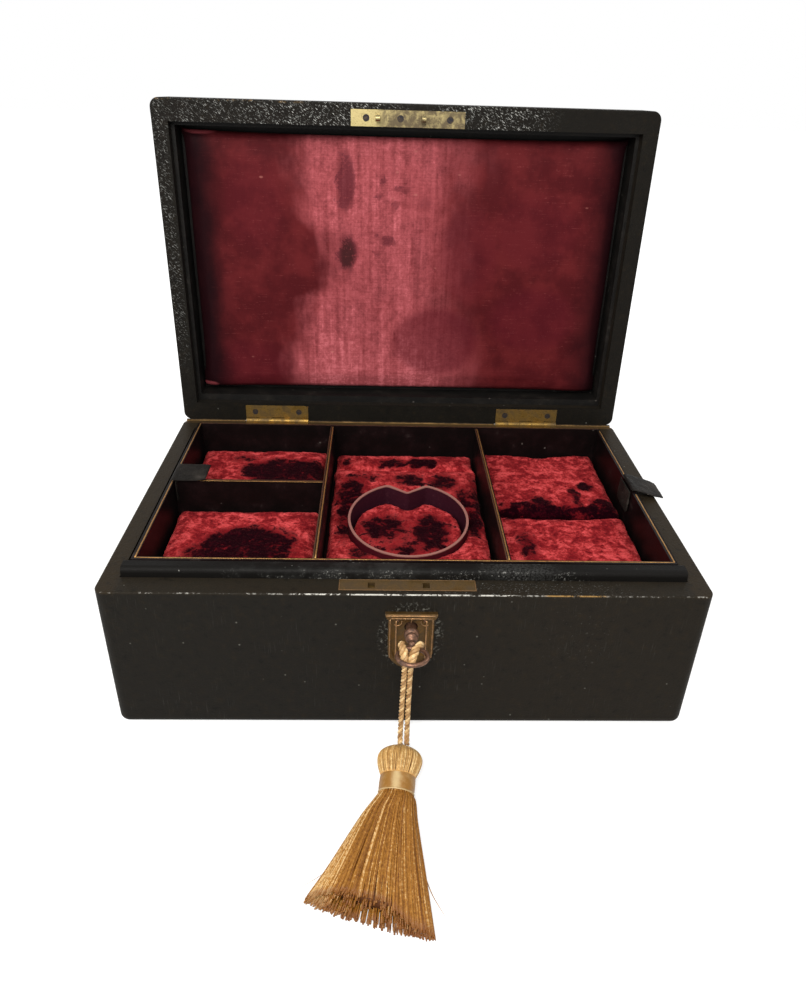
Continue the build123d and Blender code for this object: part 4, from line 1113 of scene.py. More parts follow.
@dataclass
class Tassel:
    """The silk tassel that lies on the table: head, wrapped band and fanned skirt, in millimetres."""

    top: Triple = (-1.5, -115.5, 10.9)
    sideways: float = 6.5
    downward: float = 5.5
    tilt: float = 0.3
    head_length: float = 17.0
    head_profile: tuple[tuple[float, float], ...] = (
        (0.02, 1.4), (0.07, 2.4), (0.12, 4.2), (0.18, 6.4), (0.27, 8.4), (0.4, 9.8),
        (0.56, 10.0), (0.75, 9.4), (0.9, 8.6), (1.02, 7.8),
    )
    head_threads: int = 260
    head_lean: float = 0.05
    head_proud: tuple[float, float] = (-0.25, 0.2)
    head_inset: float = 0.5
    head_around: int = 48
    band_radius: float = 8.0
    band_length: float = 9.2
    band_rows: int = 96
    band_turns: int = 20
    band_around: int = 96
    band_inset: float = 1.2
    band_swell: float = 0.22
    band_ridge: float = 0.05
    band_lip: tuple[float, float] = (0.28, 0.24)
    sections: tuple[tuple[float, float, float, float, float, float], ...] = (
        (37.9, -6.1, 7.6, 11.6, 7.0, -5.0),
        (61.6, -11.3, 5.6, 19.6, 5.3, -6.0),
        (78.5, -13.9, 4.2, 25.8, 4.0, -17.0),
    )
    skirt_threads: int = 860
    locks: int = 58
    gathered: tuple[float, ...] = (0.1, 0.28, 0.36, 0.4)
    wander: float = 0.7
    shorter_above: float = 6.0
    uneven: float = 0.55
    thread_radii: tuple[float, float] = (0.2, 0.36)
    strays: tuple[tuple[tuple[Triple, ...], float], ...] = (
        (((-24, -166, 4.5), (-34, -175, 2.6), (-43.2, -180.2, 1.0)), 0.16),
        (((1.6, -176, 3.2), (5.6, -190, 1.6), (9.0, -199.8, 0.7)), 0.5),
        (((3.0, -176, 3.0), (6.4, -190, 1.4), (9.9, -201.8, 0.6)), 0.5),
        (((0.2, -178, 2.6), (4.6, -190, 1.3), (8.0, -198.5, 0.6)), 0.6),
        (((5.6, -172, 4.6), (9.0, -184, 3.4), (13.9, -193.4, 2.6)), 0.26),
    )
    core_around: int = 28
    core_share: float = 0.86
    core_shorter: float = 4.5
    turned_floor: float = 0.2
    head_floor: float = 0.3
    skirt_floor: float = 0.4
    seed: int = 11

    def __post_init__(self) -> None:
        """Work out the tassel's own directions."""
        side = math.radians(self.sideways)
        fall = math.radians(self.downward)
        level_run = math.cos(fall)
        self.along = Vector((-math.sin(side) * level_run, -math.cos(side) * level_run, -math.sin(fall)))
        self.level = Vector((-self.along.y, self.along.x, 0)).normalized()
        self.up = self.along.cross(self.level)
        self.start = Vector(self.top)
        self.random = random.Random(self.seed)

    def turned(self, distance: float, radius: float, angle: float) -> Vector:
        """A point round the axis, in millimetres, with its top pushed forward."""
        away = (self.level * math.cos(angle) + self.up * math.sin(angle)) * radius
        return self.start + self.along * (distance + self.tilt * radius * math.sin(angle)) + away

    def revolved(
        self, name: str, profile: Sequence[tuple[float, float]], around: int, material: bpy.types.Material
    ) -> bpy.types.Object:
        """A turned shape about the tassel's axis.

        Args:
            name: Its name.
            profile: Distances along the axis with radii, in millimetres.
            around: How many points go round.
            material: Its material.

        Returns:
            The object, with its distance along the axis stored as "run".
        """
        points = []
        runs = []
        for distance, radius in profile:
            for corner in range(around):
                place = self.turned(distance, radius, 2 * math.pi * corner / around) * MM
                place.z = max(place.z, self.turned_floor * MM)
                points.append(place)
                runs.append(distance)
        made = mesh_object(name, points, tube_faces(0, len(profile), around), material)
        store(made, run=runs, shade=[0.1] * len(runs))
        return made

    def head_thread_radius(self, run: float) -> float:
        """A head thread's radius in metres at a share of its length."""
        return (0.15 + 0.1 * math.sin(math.pi * min(run * 1.3, 1))) * MM

    def head(self, thread: bpy.types.Material, core: bpy.types.Material) -> bpy.types.Object:
        """The gathered head, of threads drawn down over a core.

        Args:
            thread: The threads' finish.
            core: The core's finish, dark as painted shade.

        Returns:
            The threads, with the core as their child.
        """
        strands = Strands()
        for number in range(self.head_threads):
            angle = 2 * math.pi * (number + self.random.uniform(-0.35, 0.35)) / self.head_threads
            lean = self.random.uniform(-self.head_lean, self.head_lean)
            proud = self.random.uniform(*self.head_proud)
            line = []
            for share, radius in self.head_profile:
                reach = radius + proud * math.sin(math.pi * share)
                line.append(self.turned(share * self.head_length, reach, angle + lean * share) * MM)
            shade = self.random.gauss(0.5, 0.22)
            strands.add(through(line, 3), self.head_thread_radius, shade)
        strands.lift(self.head_floor * MM)
        head = strands.build("tassel_head_threads", thread)
        profile = []
        for share, radius in self.head_profile:
            profile.append((share * self.head_length, max(radius - self.head_inset, 0.2)))
        inner = self.revolved("tassel_head_core", profile, self.head_around, core)
        inner.parent = head
        return head

    def band(self, material: bpy.types.Material) -> bpy.types.Object:
        """The satin band wound round the neck.

        Args:
            material: The satin.

        Returns:
            The band, with a painted highlight down its middle and brighter along its lower lip.
        """
        low = self.head_length - 0.3
        high = self.head_length + self.band_length
        profile = [(low + 0.6, self.band_radius - self.band_inset)]
        for row in range(self.band_rows + 1):
            share = row / self.band_rows
            swell = self.band_swell * math.sin(math.pi * share)
            ridge = self.band_ridge * math.cos(share * self.band_turns * 2 * math.pi)
            lip = self.band_lip[0] * smooth((share - 0.9) / 0.06)
            lip -= self.band_lip[1] * smooth((share - 0.97) / 0.03)
            profile.append((low + (high - low) * share, self.band_radius - 0.15 + swell + ridge + lip))
        profile.append((high - 0.4, self.band_radius - self.band_inset))
        made = self.revolved("tassel_band_wound", profile, self.band_around, material)
        # Painted highlight: the stored shade is brightest down the band's middle, and raised along its lower
        # lip.
        shades = []
        for number, corner in enumerate(made.data.vertices):
            radius = profile[number // self.band_around][1]
            place = corner.co / MM - self.start
            away = place.dot(self.level) / radius + 0.04
            leaned = self.tilt * place.dot(self.up)
            near_end = smooth(place.dot(self.along) - leaned - high + 1.2)
            shades.append(0.06 + 1.24 * max(smooth(1 - abs(away) / 0.42), 0.75 * near_end))
        made.data.attributes["shade"].data.foreach_set("value", shades)
        return made

    def thread_line(self, starts: Sequence[tuple[float, float]], longer: float) -> list[Vector]:
        """One skirt thread's line.

        Args:
            starts: Its place over the skirt's width and height, each from -1 to 1, at the waist and at
                each section.
            longer: How much further than the last section it goes, in millimetres.

        Returns:
            The points of the line, in metres.
        """
        waist = self.head_length + self.band_length - 1.0
        spread = self.band_radius - 0.7
        push = self.up + self.along * self.tilt
        across, rise = starts[0]
        places = [
            self.start + self.along * waist + (self.level * across + push * rise) * (spread - 0.3),
            self.start
            + self.along * (waist + 3.4)
            + (self.level * across * 1.12 + push * rise) * (spread + 0.2),
        ]
        for (reach, sideways, height, wide, high, slant), (across, rise) in zip(self.sections, starts[1:]):
            middle = Vector((self.top[0] + sideways, self.top[1] - reach, height))
            turn = math.radians(slant)
            flat = Vector((math.cos(turn), math.sin(turn), 0)) * (across * wide)
            places.append(middle + flat + Vector((0, 0, rise * high)))
        last = places[-1] - places[-2]
        places[-1] = places[-1] + last.normalized() * longer
        return [place * MM for place in through(places, 5)]

    def skirt(self, thread: bpy.types.Material, core: bpy.types.Material) -> bpy.types.Object:
        """The fanned threads in their locks, longest underneath, with the stray ones.

        Args:
            thread: The threads' finish.
            core: The core's finish, dark as painted shade.

        Returns:
            The threads, with the core as their child.
        """
        strands = Strands()
        lock_shades = [held(self.random.gauss(0.42, 0.11), 0.05, 0.95) for _ in range(self.locks)]
        for number in range(self.skirt_threads):
            angle = 2 * math.pi * (number + self.random.uniform(-0.5, 0.5)) / self.skirt_threads
            depth = self.random.uniform(0.9, 1.0) if number % 4 else math.sqrt(self.random.uniform(0.1, 0.8))
            lock = int(angle / (2 * math.pi) * self.locks) % self.locks
            middle = 2 * math.pi * (lock + 0.5) / self.locks
            starts = []
            for gathered in self.gathered:
                turn = angle + (middle - angle) * gathered
                starts.append((math.cos(turn) * depth, math.sin(turn) * depth))
            across, rise = starts[-1]
            upper = max(rise, 0.0) * smooth((0.75 - across) / 0.5)
            longer = 1.0 - self.shorter_above * upper + self.random.gauss(0, self.uneven)
            line = self.thread_line(starts, longer)
            sway = Vector((self.random.uniform(-1, 1), 0, self.random.uniform(-0.5, 0.5)))
            sway *= self.wander * MM
            last = len(line) - 1
            line = [place + sway * math.sin(math.pi * index / last) for index, place in enumerate(line)]
            size = self.random.uniform(*self.thread_radii) * MM
            # Painted highlight: threads towards the skirt's left side are lighter.
            shade = lock_shades[lock] + self.random.gauss(0, 0.2) + 0.5 * smooth((-across - 0.5) / 0.4)
            strands.add(line, lambda run, size=size: size * (0.8 + 0.45 * run), held(shade, 0, 1))
        self.stray_threads(strands)
        strands.lift(self.skirt_floor * MM)
        skirt = strands.build("tassel_skirt_threads", thread)
        inner = self.fan_core(core)
        inner.parent = skirt
        return skirt

    def stray_threads(self, strands: Strands) -> None:
        """Lay the few threads that have come loose at the skirt's sides."""
        start = self.start + self.along * (self.head_length + self.band_length + 4)
        for ends, size in self.strays:
            side = math.copysign(5.0, ends[-1][0])
            places = [start + self.level * side, *(Vector(end) for end in ends)]
            line = [place * MM for place in through(places, 7)]
            strands.add(line, lambda run, size=size: size * (1.0 - 0.75 * run**2) * MM, 0.55)

    def fan_core(self, material: bpy.types.Material) -> bpy.types.Object:
        """The closed mass inside the skirt, dark as painted shade between the threads."""
        lines = []
        for corner in range(self.core_around):
            angle = 2 * math.pi * corner / self.core_around
            start = (math.cos(angle) * self.core_share, math.sin(angle) * self.core_share)
            lines.append(self.thread_line([start] * 4, -self.core_shorter))
        points = [place for ring in zip(*lines) for place in ring]
        for place in points:
            place.z = max(place.z, self.head_floor * MM)
        faces = tube_faces(0, len(lines[0]), self.core_around, closed=True)
        made = mesh_object("tassel_skirt_core", points, faces, material)
        store(made, shade=[0.05] * len(points), run=[0.05] * len(points))
        return made

    def build(
        self,
        gathered: bpy.types.Material,
        thread: bpy.types.Material,
        satin: bpy.types.Material,
        core: bpy.types.Material,
    ) -> list[bpy.types.Object]:
        """Make the tassel's three pieces.

        Args:
            gathered: The head threads' finish.
            thread: The skirt threads' finish.
            satin: The band's finish.
            core: The inside's finish, dark as painted shade.

        Returns:
            Head, band and skirt.
        """
        made = [self.head(gathered, core), self.band(satin), self.skirt(thread, core)]
        for piece, node in zip(made, ("tassel_head", "tassel_band", "tassel_skirt")):
            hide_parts(node)
            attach(piece, "base")
        return made


@dataclass(frozen=True)
class Pad:
    """A velvet pad: its CAD node, body, patches of crushed pile and painted shadow, remesh cell in
    millimetres and filling.
    """

    node: str
    body: str
    crushed: tuple[Spot, ...] = ()
    voxel: float = 2.4
    fill: float = 0.55


@dataclass
class SoftLinings:
    """The tray's and the well's velvet pads and the lid's silk pad, puffed by cloth simulation.

    Sizes are in millimetres.
    """

    frames: int = 20
    quality: int = 5
    mass: float = 0.2
    pressure: float = 4.0
    stiffness: float = 12
    bending: float = 0.4
    cap: float = 1.6
    velvet_shrink: float = 0.35
    warp: float = 2.6
    silk_voxel: float = 4.0
    silk_shrink: float = 0.1
    silk_front: float = 114.5
    pads: tuple[Pad, ...] = (
        Pad("pad_left_front", "tray", (
            Spot(-81, -38, 25, 19, 1.0, 0.3), Spot(-84, -58, 30, 14, 1.0, 0.3),
            Spot(-101, -44, 12, 10, 0.7, 0.5), Spot(-60, -34, 4.5, 9.5, 0.6, 0.5),
        )),
        Pad("pad_left_rear", "tray", (
            Spot(-70, 46, 26, 15, 1.0, 0.3), Spot(-66, 26, 24, 16, 1.0, 0.3),
            Spot(-96, 61.6, 8.6, 5, 0.5, 0.6),
        )),
        Pad("pad_right_front", "tray", (
            Spot(64.9, -33.6, 4.8, 12.4, 0.85, 0.6), Spot(60, -5.2, 5, 1.6, 0.8, 0.6),
        )),
        Pad("pad_right_rear", "tray", (
            # The first, long patch is painted shadow along the slit.
            Spot(91, 1.5, 42, 7.0, 1.0, 0.3), Spot(67, 7.5, 9, 4.5, 0.8, 0.5),
            Spot(79, 9, 7, 8, 0.8, 0.5), Spot(101.2, 18.9, 2.6, 12, 0.9, 0.5),
            Spot(110.2, 29.8, 4.6, 5, 0.9, 0.5), Spot(116, 8, 9, 8, 0.9, 0.4),
        )),
        Pad("pad_centre_rear", "tray", (
            Spot(13.5, 62.5, 10, 6, 0.95, 0.4), Spot(-5, 61.6, 9.5, 5, 0.8, 0.5),
            Spot(-34.4, 63.8, 3.4, 5, 0.7, 0.5),
        )),
        Pad("pad_centre_main", "tray", (
            Spot(-29, 17, 8.5, 19, 0.9, 0.5), Spot(-32, -4, 4.5, 24, 0.7, 0.6),
            Spot(25, 33.8, 8, 10, 0.8, 0.5), Spot(39.6, -9, 5, 15, 0.95, 0.4),
            Spot(43.4, 15, 3.6, 26, 0.7, 0.6), Spot(5, 36, 9, 7, 0.7, 0.6),
            Spot(-24, 38.5, 11, 4.5, 0.55, 0.6), Spot(36, 14, 6, 14, 0.7, 0.6),
            Spot(-23, -41, 6, 7, 0.7, 0.5),
        )),
        Pad("pad_ring_centre", "tray", (
            Spot(-11, -15, 12, 12, 0.9, 0.5), Spot(15, -19, 10, 17, 1.0, 0.5),
            Spot(4, -36, 18, 6, 0.6, 0.6), Spot(1, -20, 24, 18, 0.4, 0.5),
        )),
        Pad("well_floor_pad", "base", (), voxel=5.0),
    )

    def remeshed(self, node: str, name: str, voxel: float, shrink: float) -> bpy.types.Object:
        """A closed even mesh of a CAD pad, a little smaller all round.

        Args:
            node: The CAD node.
            name: The new object's name.
            voxel: The remesh's cell, in millimetres.
            shrink: How much smaller, in millimetres on each side.

        Returns:
            The new object.
        """
        source = bpy.data.objects[node]
        made = bpy.data.objects.new(name, source.data.copy())
        bpy.context.scene.collection.objects.link(made)
        made.data.materials.clear()
        low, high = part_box(node)
        middle = (low + high) / 2
        for corner in made.data.vertices:
            for axis in range(3):
                half = (high[axis] - low[axis]) / 2
                share = 1 - min(shrink * MM / half, 0.5)
                corner.co[axis] = middle[axis] + (corner.co[axis] - middle[axis]) * share
        remesh = made.modifiers.new("even", "REMESH")
        remesh.mode = "VOXEL"
        remesh.voxel_size = voxel * MM
        self.settle(made)
        return made

    def settle(self, piece: bpy.types.Object) -> None:
        """Apply a piece's modifiers to its mesh."""
        graph = bpy.context.evaluated_depsgraph_get()
        mesh = bpy.data.meshes.new_from_object(piece.evaluated_get(graph), depsgraph=graph)
        piece.modifiers.clear()
        old = piece.data
        piece.data = mesh
        bpy.data.meshes.remove(old)

    def puff(self, piece: bpy.types.Object) -> None:
        """Inflate a piece with a short cloth simulation, and cap how far each point goes."""
        before = [corner.co.copy() for corner in piece.data.vertices]
        cloth = piece.modifiers.new("puff", "CLOTH")
        cloth.settings.quality = self.quality
        cloth.settings.mass = self.mass
        cloth.settings.use_pressure = True
        cloth.settings.uniform_pressure_force = self.pressure
        cloth.settings.effector_weights.gravity = 0
        cloth.settings.tension_stiffness = self.stiffness
        cloth.settings.compression_stiffness = self.stiffness
        cloth.settings.bending_stiffness = self.bending
        cloth.collision_settings.use_collision = False
        cloth.point_cache.frame_start = 1
        cloth.point_cache.frame_end = self.frames
        scene = bpy.context.scene
        for frame in range(1, self.frames + 1):
            scene.frame_set(frame)
        self.settle(piece)
        scene.frame_set(1)
        for corner, old in zip(piece.data.vertices, before):
            move = corner.co - old
            if move.length > self.cap * MM:
                corner.co = old + move.normalized() * self.cap * MM

    def finer(self, piece: bpy.types.Object) -> None:
        """Subdivide a piece once and keep the result."""
        add_subdivision(piece)
        self.settle(piece)

    def fill_box(self, piece: bpy.types.Object, node: str) -> None:
        """Stretch a piece along the box until it is as long as its CAD node, with square edges."""
        low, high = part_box(node)
        middle = (low + high) / 2
        for axis in (0, 2):
            half = max(abs(corner.co[axis] - middle[axis]) for corner in piece.data.vertices)
            full = (high[axis] - low[axis]) / 2
            for corner in piece.data.vertices:
                share = (corner.co[axis] - middle[axis]) / half
                squared = math.copysign(1 - (1 - abs(share)) ** 1.25, share) if abs(share) > 0.9 else share
                corner.co[axis] = middle[axis] + (share * 0.5 + squared * 0.5) * full

    def hold_in(self, piece: bpy.types.Object, node: str) -> None:
        """Keep every point of a piece in its CAD node's box."""
        low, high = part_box(node)
        for corner in piece.data.vertices:
            for axis in range(3):
                corner.co[axis] = held(corner.co[axis], low[axis], high[axis])

    def velvet(self, pad: Pad, material: bpy.types.Material) -> bpy.types.Object:
        """Make one velvet pad, puffed, rumpled and pressed in at its dark patches.

        Args:
            pad: What the pad is.
            material: The velvet.

        Returns:
            The pad.
        """
        piece = self.remeshed(pad.node, f"velvet_{pad.node}", pad.voxel, self.velvet_shrink)
        self.puff(piece)
        self.finer(piece)
        self.rumple(piece, pad)
        self.hold_in(piece, pad.node)
        self.dress(piece, material)
        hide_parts(pad.node)
        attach(piece, pad.body)
        return piece

    def rumple(self, piece: bpy.types.Object, pad: Pad) -> None:
        """Raise soft lumps on a velvet pad and press its dark patches in, crushed pile and painted shadow
        alike, which are stored as "crush".

        Args:
            piece: The pad's object.
            pad: What the pad is.
        """
        mesh = piece.data
        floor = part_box(pad.node)[0].z
        crush: list[float] = []
        normals = [corner.normal.copy() for corner in mesh.vertices]
        for corner, normal in zip(mesh.vertices, normals):
            place = corner.co * TO_MM
            warp = noise.noise_vector(place * 0.2) * self.warp
            x, y = place.x + warp.x, place.y + warp.y
            most = max((spot.at(x, y) for spot in pad.crushed), default=0.0)
            crush.append(most)
            upper = smooth((corner.co.z - floor) / 0.004)
            lumps = noise.noise(place * 0.11) * 0.5 + noise.noise(place * 0.34 + Vector((7, 3, 1))) * 0.4
            corner.co += normal * (lumps - most * 0.5 - 0.1) * upper * MM
        store(piece, crush=crush)

    def silk(self, material: bpy.types.Material) -> bpy.types.Object:
        """Make the lid's silk pad, drawn tight with soft upright waves."""
        node = "lid_silk_pad"
        piece = self.remeshed(node, "silk_lid_pad", self.silk_voxel, self.silk_shrink)
        self.puff(piece)
        self.finer(piece)
        self.fill_box(piece, node)
        for corner in piece.data.vertices:
            place = corner.co * TO_MM
            wave = noise.noise(Vector((place.x * 0.06, place.z * 0.012, 3.0))) * 0.5
            ripple = noise.noise(Vector((place.x * 0.22, place.z * 0.03, 9.0))) * 0.14
            corner.co.y += (wave + ripple) * MM * smooth((self.silk_front - place.y) / 4)
        self.hold_in(piece, node)
        self.dress(piece, material)
        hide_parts(node)
        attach(piece, "lid")
        return piece

    def dress(self, piece: bpy.types.Object, material: bpy.types.Material) -> None:
        """Give a piece its material and smooth shading."""
        piece.data.materials.clear()
        piece.data.materials.append(material)
        piece.data.polygons.foreach_set("use_smooth", [True] * len(piece.data.polygons))
        piece.data.update()

    def build(self, velvet: bpy.types.Material, silk: bpy.types.Material) -> list[bpy.types.Object]:
        """Make every padded piece.

        Args:
            velvet: The velvet.
            silk: The lid's satin.

        Returns:
            The pieces.
        """
        return [*(self.velvet(pad, velvet) for pad in self.pads), self.silk(silk)]


@dataclass
class GiltLines:
    """Thin gilt rules on the tops of the tray's walls and partitions, in millimetres."""

    half: float = 0.36
    flat: float = 0.3
    wobble: float = 0.05
    count: int = 40
    gold: tuple[tuple[Triple, Triple], ...] = (
        ((-126.2, -71.6, 85.3), (-126.2, 78.4, 85.3)),
        ((126.9, -71.6, 85.3), (126.9, -6.0, 85.3)),
        ((126.9, 17.0, 85.3), (126.9, 76.0, 85.3)),
        ((-126.2, -71.6, 85.3), (126.9, -71.6, 85.3)),
        ((-42.9, -70.6, 85.1), (-42.9, 76.6, 85.1)),
        ((48.4, -70.6, 85.1), (48.4, 76.6, 85.1)),
        ((-124.6, 3.5, 85.1), (-44.6, 3.5, 85.1)),
    )
    brown: tuple[tuple[Triple, Triple], ...] = (
        ((-44.0, -70.6, 85.1), (-44.0, 76.6, 85.1)),
        ((47.4, -70.6, 85.1), (47.4, 76.6, 85.1)),
        ((-126.2, 78.6, 85.3), (126.9, 78.6, 85.3)),
        ((-124.6, 4.8, 85.1), (-44.6, 4.8, 85.1)),
    )
    seed: int = 5

    def laid(
        self, name: str, rules: Iterable[tuple[Triple, Triple]], material: bpy.types.Material
    ) -> bpy.types.Object:
        """One mesh of several rules, each a flat bead with a hand-laid wobble.

        Args:
            name: The object's name.
            rules: Where each rule begins and ends, in millimetres.
            material: The gilt.

        Returns:
            The object, which rides on the tray.
        """
        chance = random.Random(self.seed)
        strands = Strands()
        for start, end in rules:
            line = []
            for place in steps(point(*start), point(*end), self.count):
                aside = Vector((chance.uniform(-1, 1), chance.uniform(-1, 1), 0))
                line.append(place + aside * self.wobble * MM)
            strands.add(line, lambda run: self.half * MM, 0.5, sides=8, flat=self.flat)
        made = strands.build(name, material)
        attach(made, "tray")
        return made

    def build(self, gold: bpy.types.Material, brown: bpy.types.Material) -> list[bpy.types.Object]:
        """Make the bright and the brown rules."""
        return [self.laid("gilt_rules", self.gold, gold), self.laid("brown_rules", self.brown, brown)]


@dataclass
class WornEdges:
    """The back edges of base and lid, worn to rolled tan hide beside the hinges, in millimetres."""

    spans: tuple[tuple[float, float], ...] = ((-138.6, -100.6), (-60.6, 61.8), (101.6, 138.6))
    base_place: tuple[float, float] = (92.55, 80.72)
    lid_place: tuple[float, float] = (93.5, 81.1)
    radius: float = 0.56
    wobble: float = 0.05
    count: int = 60
    seed: int = 9

    def roll_radius(self, run: float) -> float:
        """The roll's radius in metres at a share of its length."""
        return self.radius * MM * (0.9 + 0.1 * math.sin(run * 90))

    def roll(
        self, name: str, place: tuple[float, float], body: str, slot: str, material: bpy.types.Material
    ) -> bpy.types.Object:
        """Three rolled stretches along one back edge.

        Args:
            name: The object's name.
            place: The roll's y and z, in millimetres.
            body: What it rides on.
            slot: Not used.
            material: The worn hide.

        Returns:
            The object.
        """
        chance = random.Random(self.seed)
        strands = Strands()
        for start, end in self.spans:
            line = []
            for index in range(self.count):
                along = start + (end - start) * index / (self.count - 1)
                aside = chance.uniform(-self.wobble, self.wobble)
                line.append(point(along, place[0] + aside, place[1]))
            strands.add(line, self.roll_radius, 0.5, sides=8)
        made = strands.build(name, material)
        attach(made, body)
        return made

    def build(self, base: bpy.types.Material, lid: bpy.types.Material) -> list[bpy.types.Object]:
        """Make the base's roll and the lid's."""
        return [
            self.roll("back_edge_base", self.base_place, "base", "leather", base),
            self.roll("back_edge_lid", self.lid_place, "lid", "leather", lid),
        ]


@dataclass
class PlateBorders:
    """The escutcheon's raised mouldings and pin scallops, and the lock plate's rubbed edge.

    Sizes are in millimetres.
    """

    middle: float = 1.9
    face: float = -95.5
    bead: float = 0.42
    pin: tuple[float, float] = (6.4, 67.6)
    scallop: float = 2.1
    lock_plate: tuple[float, float, float, float] = (-31, 31, -89.6, -81.9)
    lock_top: float = 80.9
    rubbed: float = 0.26

    def bar(self, strands: Strands, ends: Sequence[tuple[float, float]], size: float, shade: float) -> None:
        """Lay one bead on the plate's face.

        Args:
            strands: What it is added to.
            ends: The places it runs through, as x from the plate's middle and z.
            size: Its radius in millimetres.
            shade: A number from 0 to 1 stored with it, which its finish doesn't read.
        """
        places = [point(self.middle + x, self.face + 0.1, z) for x, z in ends]
        line = through(places, 6) if len(places) > 2 else steps(places[0], places[1], 12)
        strands.add(line, lambda run: size * MM, shade, sides=8, flat=0.8)

    def lock_edge(self, strands: Strands) -> None:
        """Lay the rubbed edge round the lock plate, on the base's rim."""
        left, right, front, back = self.lock_plate
        outline = ((left, front), (right, front), (right, back), (left, back), (left, front))
        corners = [point(x, y, self.lock_top) for x, y in outline]
        for start, end in zip(corners, corners[1:]):
            strands.add(steps(start, end, 24), lambda run: self.rubbed * MM, 0.9, sides=8)

    def build(self, material: bpy.types.Material) -> bpy.types.Object:
        """Make the mouldings as one piece on the base."""
        strands = Strands()
        self.bar(strands, ((-11.4, 71.0), (11.4, 71.0)), 0.5, 0.9)
        self.bar(strands, ((-9.6, 69.5), (9.6, 69.5)), 0.34, 0.7)
        for side in (-1, 1):
            self.bar(strands, ((6.9 * side, 68.4), (6.9 * side, 46.0)), self.bead, 0.5)
            self.bar(strands, ((9.7 * side, 69.0), (9.7 * side, 46.5)), 0.3, 0.8)
            scallop = []
            for turn in range(-10, 131, 28):
                angle = math.radians(turn)
                x = self.pin[0] * side + self.scallop * math.cos(angle) * -side
                scallop.append((x, self.pin[1] - self.scallop * math.sin(angle)))
            self.bar(strands, scallop, 0.3, 0.6)
        self.bar(strands, ((0.0, 69.2), (0.0, 67.2)), 0.34, 1.0)
        self.lock_edge(strands)
        made = strands.build("plate_borders", material)
        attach(made, "base")
        return made


@dataclass
class PullStraps:
    """Two thin leather pull straps with their glued tails, in millimetres."""

    thickness: float = 0.95
    width: float = 19.4
    columns: int = 22
    left: tuple[Triple, ...] = (
        (-126.7, 10.8, 85.95), (-126.2, 10.8, 86.35), (-123, 10.8, 86.2), (-116, 10.8, 86.2),
        (-108.2, 10.8, 86.5),
    )
    right: tuple[Triple, ...] = (
        (125.6, 5.4, 85.9), (126.1, 5.4, 86.75), (129, 5.4, 86.0), (136.5, 5.4, 83.6), (144.2, 5.4, 81.2),
    )
    tails: tuple[tuple[str, float, float, int], ...] = (
        ("strap_left_tail", -124.5, 10.8, 1), ("strap_right_tail", 124.5, 5.4, -1),
    )
    tail_heights: tuple[float, ...] = (85.0, 80.5, 76.0, 71.8)

    def ribbon(
        self,
        name: str,
        line: Sequence[Vector],
        across: Vector,
        crumple: float,
        seed: float,
        material: bpy.types.Material,
    ) -> bpy.types.Object:
        """A leather ribbon along a line, with thickness, rounded corners and creases.

        Args:
            name: Its name.
            line: Its middle line, in millimetres.
            across: The direction of its width.
            crumple: How deep its creases are, in millimetres.
            seed: A number that gives another crumple.
            material: The leather.

        Returns:
            The ribbon.
        """
        count = len(line)
        points = []
        for side in (1, -1):
            for index, here in enumerate(line):
                ahead = (line[min(index + 1, count - 1)] - line[max(index - 1, 0)]).normalized()
                out = across.cross(ahead).normalized()
                left = (count - 1 - index) / (count - 1)
                rounded = 1 - 0.14 * (1 - smooth(left / 0.16))
                for column in range(self.columns):
                    share = column / (self.columns - 1) * 2 - 1
                    pinch = 1 - 0.12 * math.exp(-((index - 3) ** 2) / 18) * crumple
                    place = here + across * share * self.width / 2 * rounded * pinch
                    crease = noise.noise(place * 0.28 + Vector((seed, 0, 0))) + 0.6 * noise.noise(place * 0.7)
                    edge = 1 - 0.35 * abs(share) ** 8
                    points.append((place + out * (crease * crumple + side * self.thickness / 2 * edge)) * MM)
        faces: list[tuple[int, ...]] = []
        sheet = count * self.columns
        for row in range(count - 1):
            for column in range(self.columns - 1):
                low = row * self.columns + column
                quad = (low, low + 1, low + self.columns + 1, low + self.columns)
                faces.append(quad)
                faces.append(tuple(sheet + corner for corner in reversed(quad)))
        border = list(range(self.columns))
        border += [row * self.columns + self.columns - 1 for row in range(1, count)]
        border += [(count - 1) * self.columns + column for column in reversed(range(self.columns - 1))]
        border += [row * self.columns for row in reversed(range(1, count - 1))]
        for here, following in zip(border, border[1:] + border[:1]):
            faces.append((following, here, sheet + here, sheet + following))
        made = mesh_object(name, points, faces, material)
        add_subdivision(made)
        return made

    def build(self, material: bpy.types.Material) -> list[bpy.types.Object]:
        """Make both flaps and both tails.

        Args:
            material: The leather.

        Returns:
            The four pieces.
        """
        made = []
        for side, places, crumple, seed in (("left", self.left, 0.08, 2.0), ("right", self.right, 0.3, 5.0)):
            line = through([Vector(place) for place in places], 7)
            flap = self.ribbon(f"strap_{side}_flap", line, Vector((0, 1, 0)), crumple, seed, material)
            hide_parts(f"pull_strap_{side}")
            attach(flap, f"strap_{side}")
            made.append(flap)
        tails = []
        for name, x, y, out in self.tails:
            line = through([Vector((x, y, height)) for height in self.tail_heights], 8)
            tails.append(self.ribbon(name, line, Vector((0, out, 0)), 0.22, x, material))
        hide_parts("strap_tails")
        for tail in tails:
            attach(tail, "tray")
        made += tails
        return made


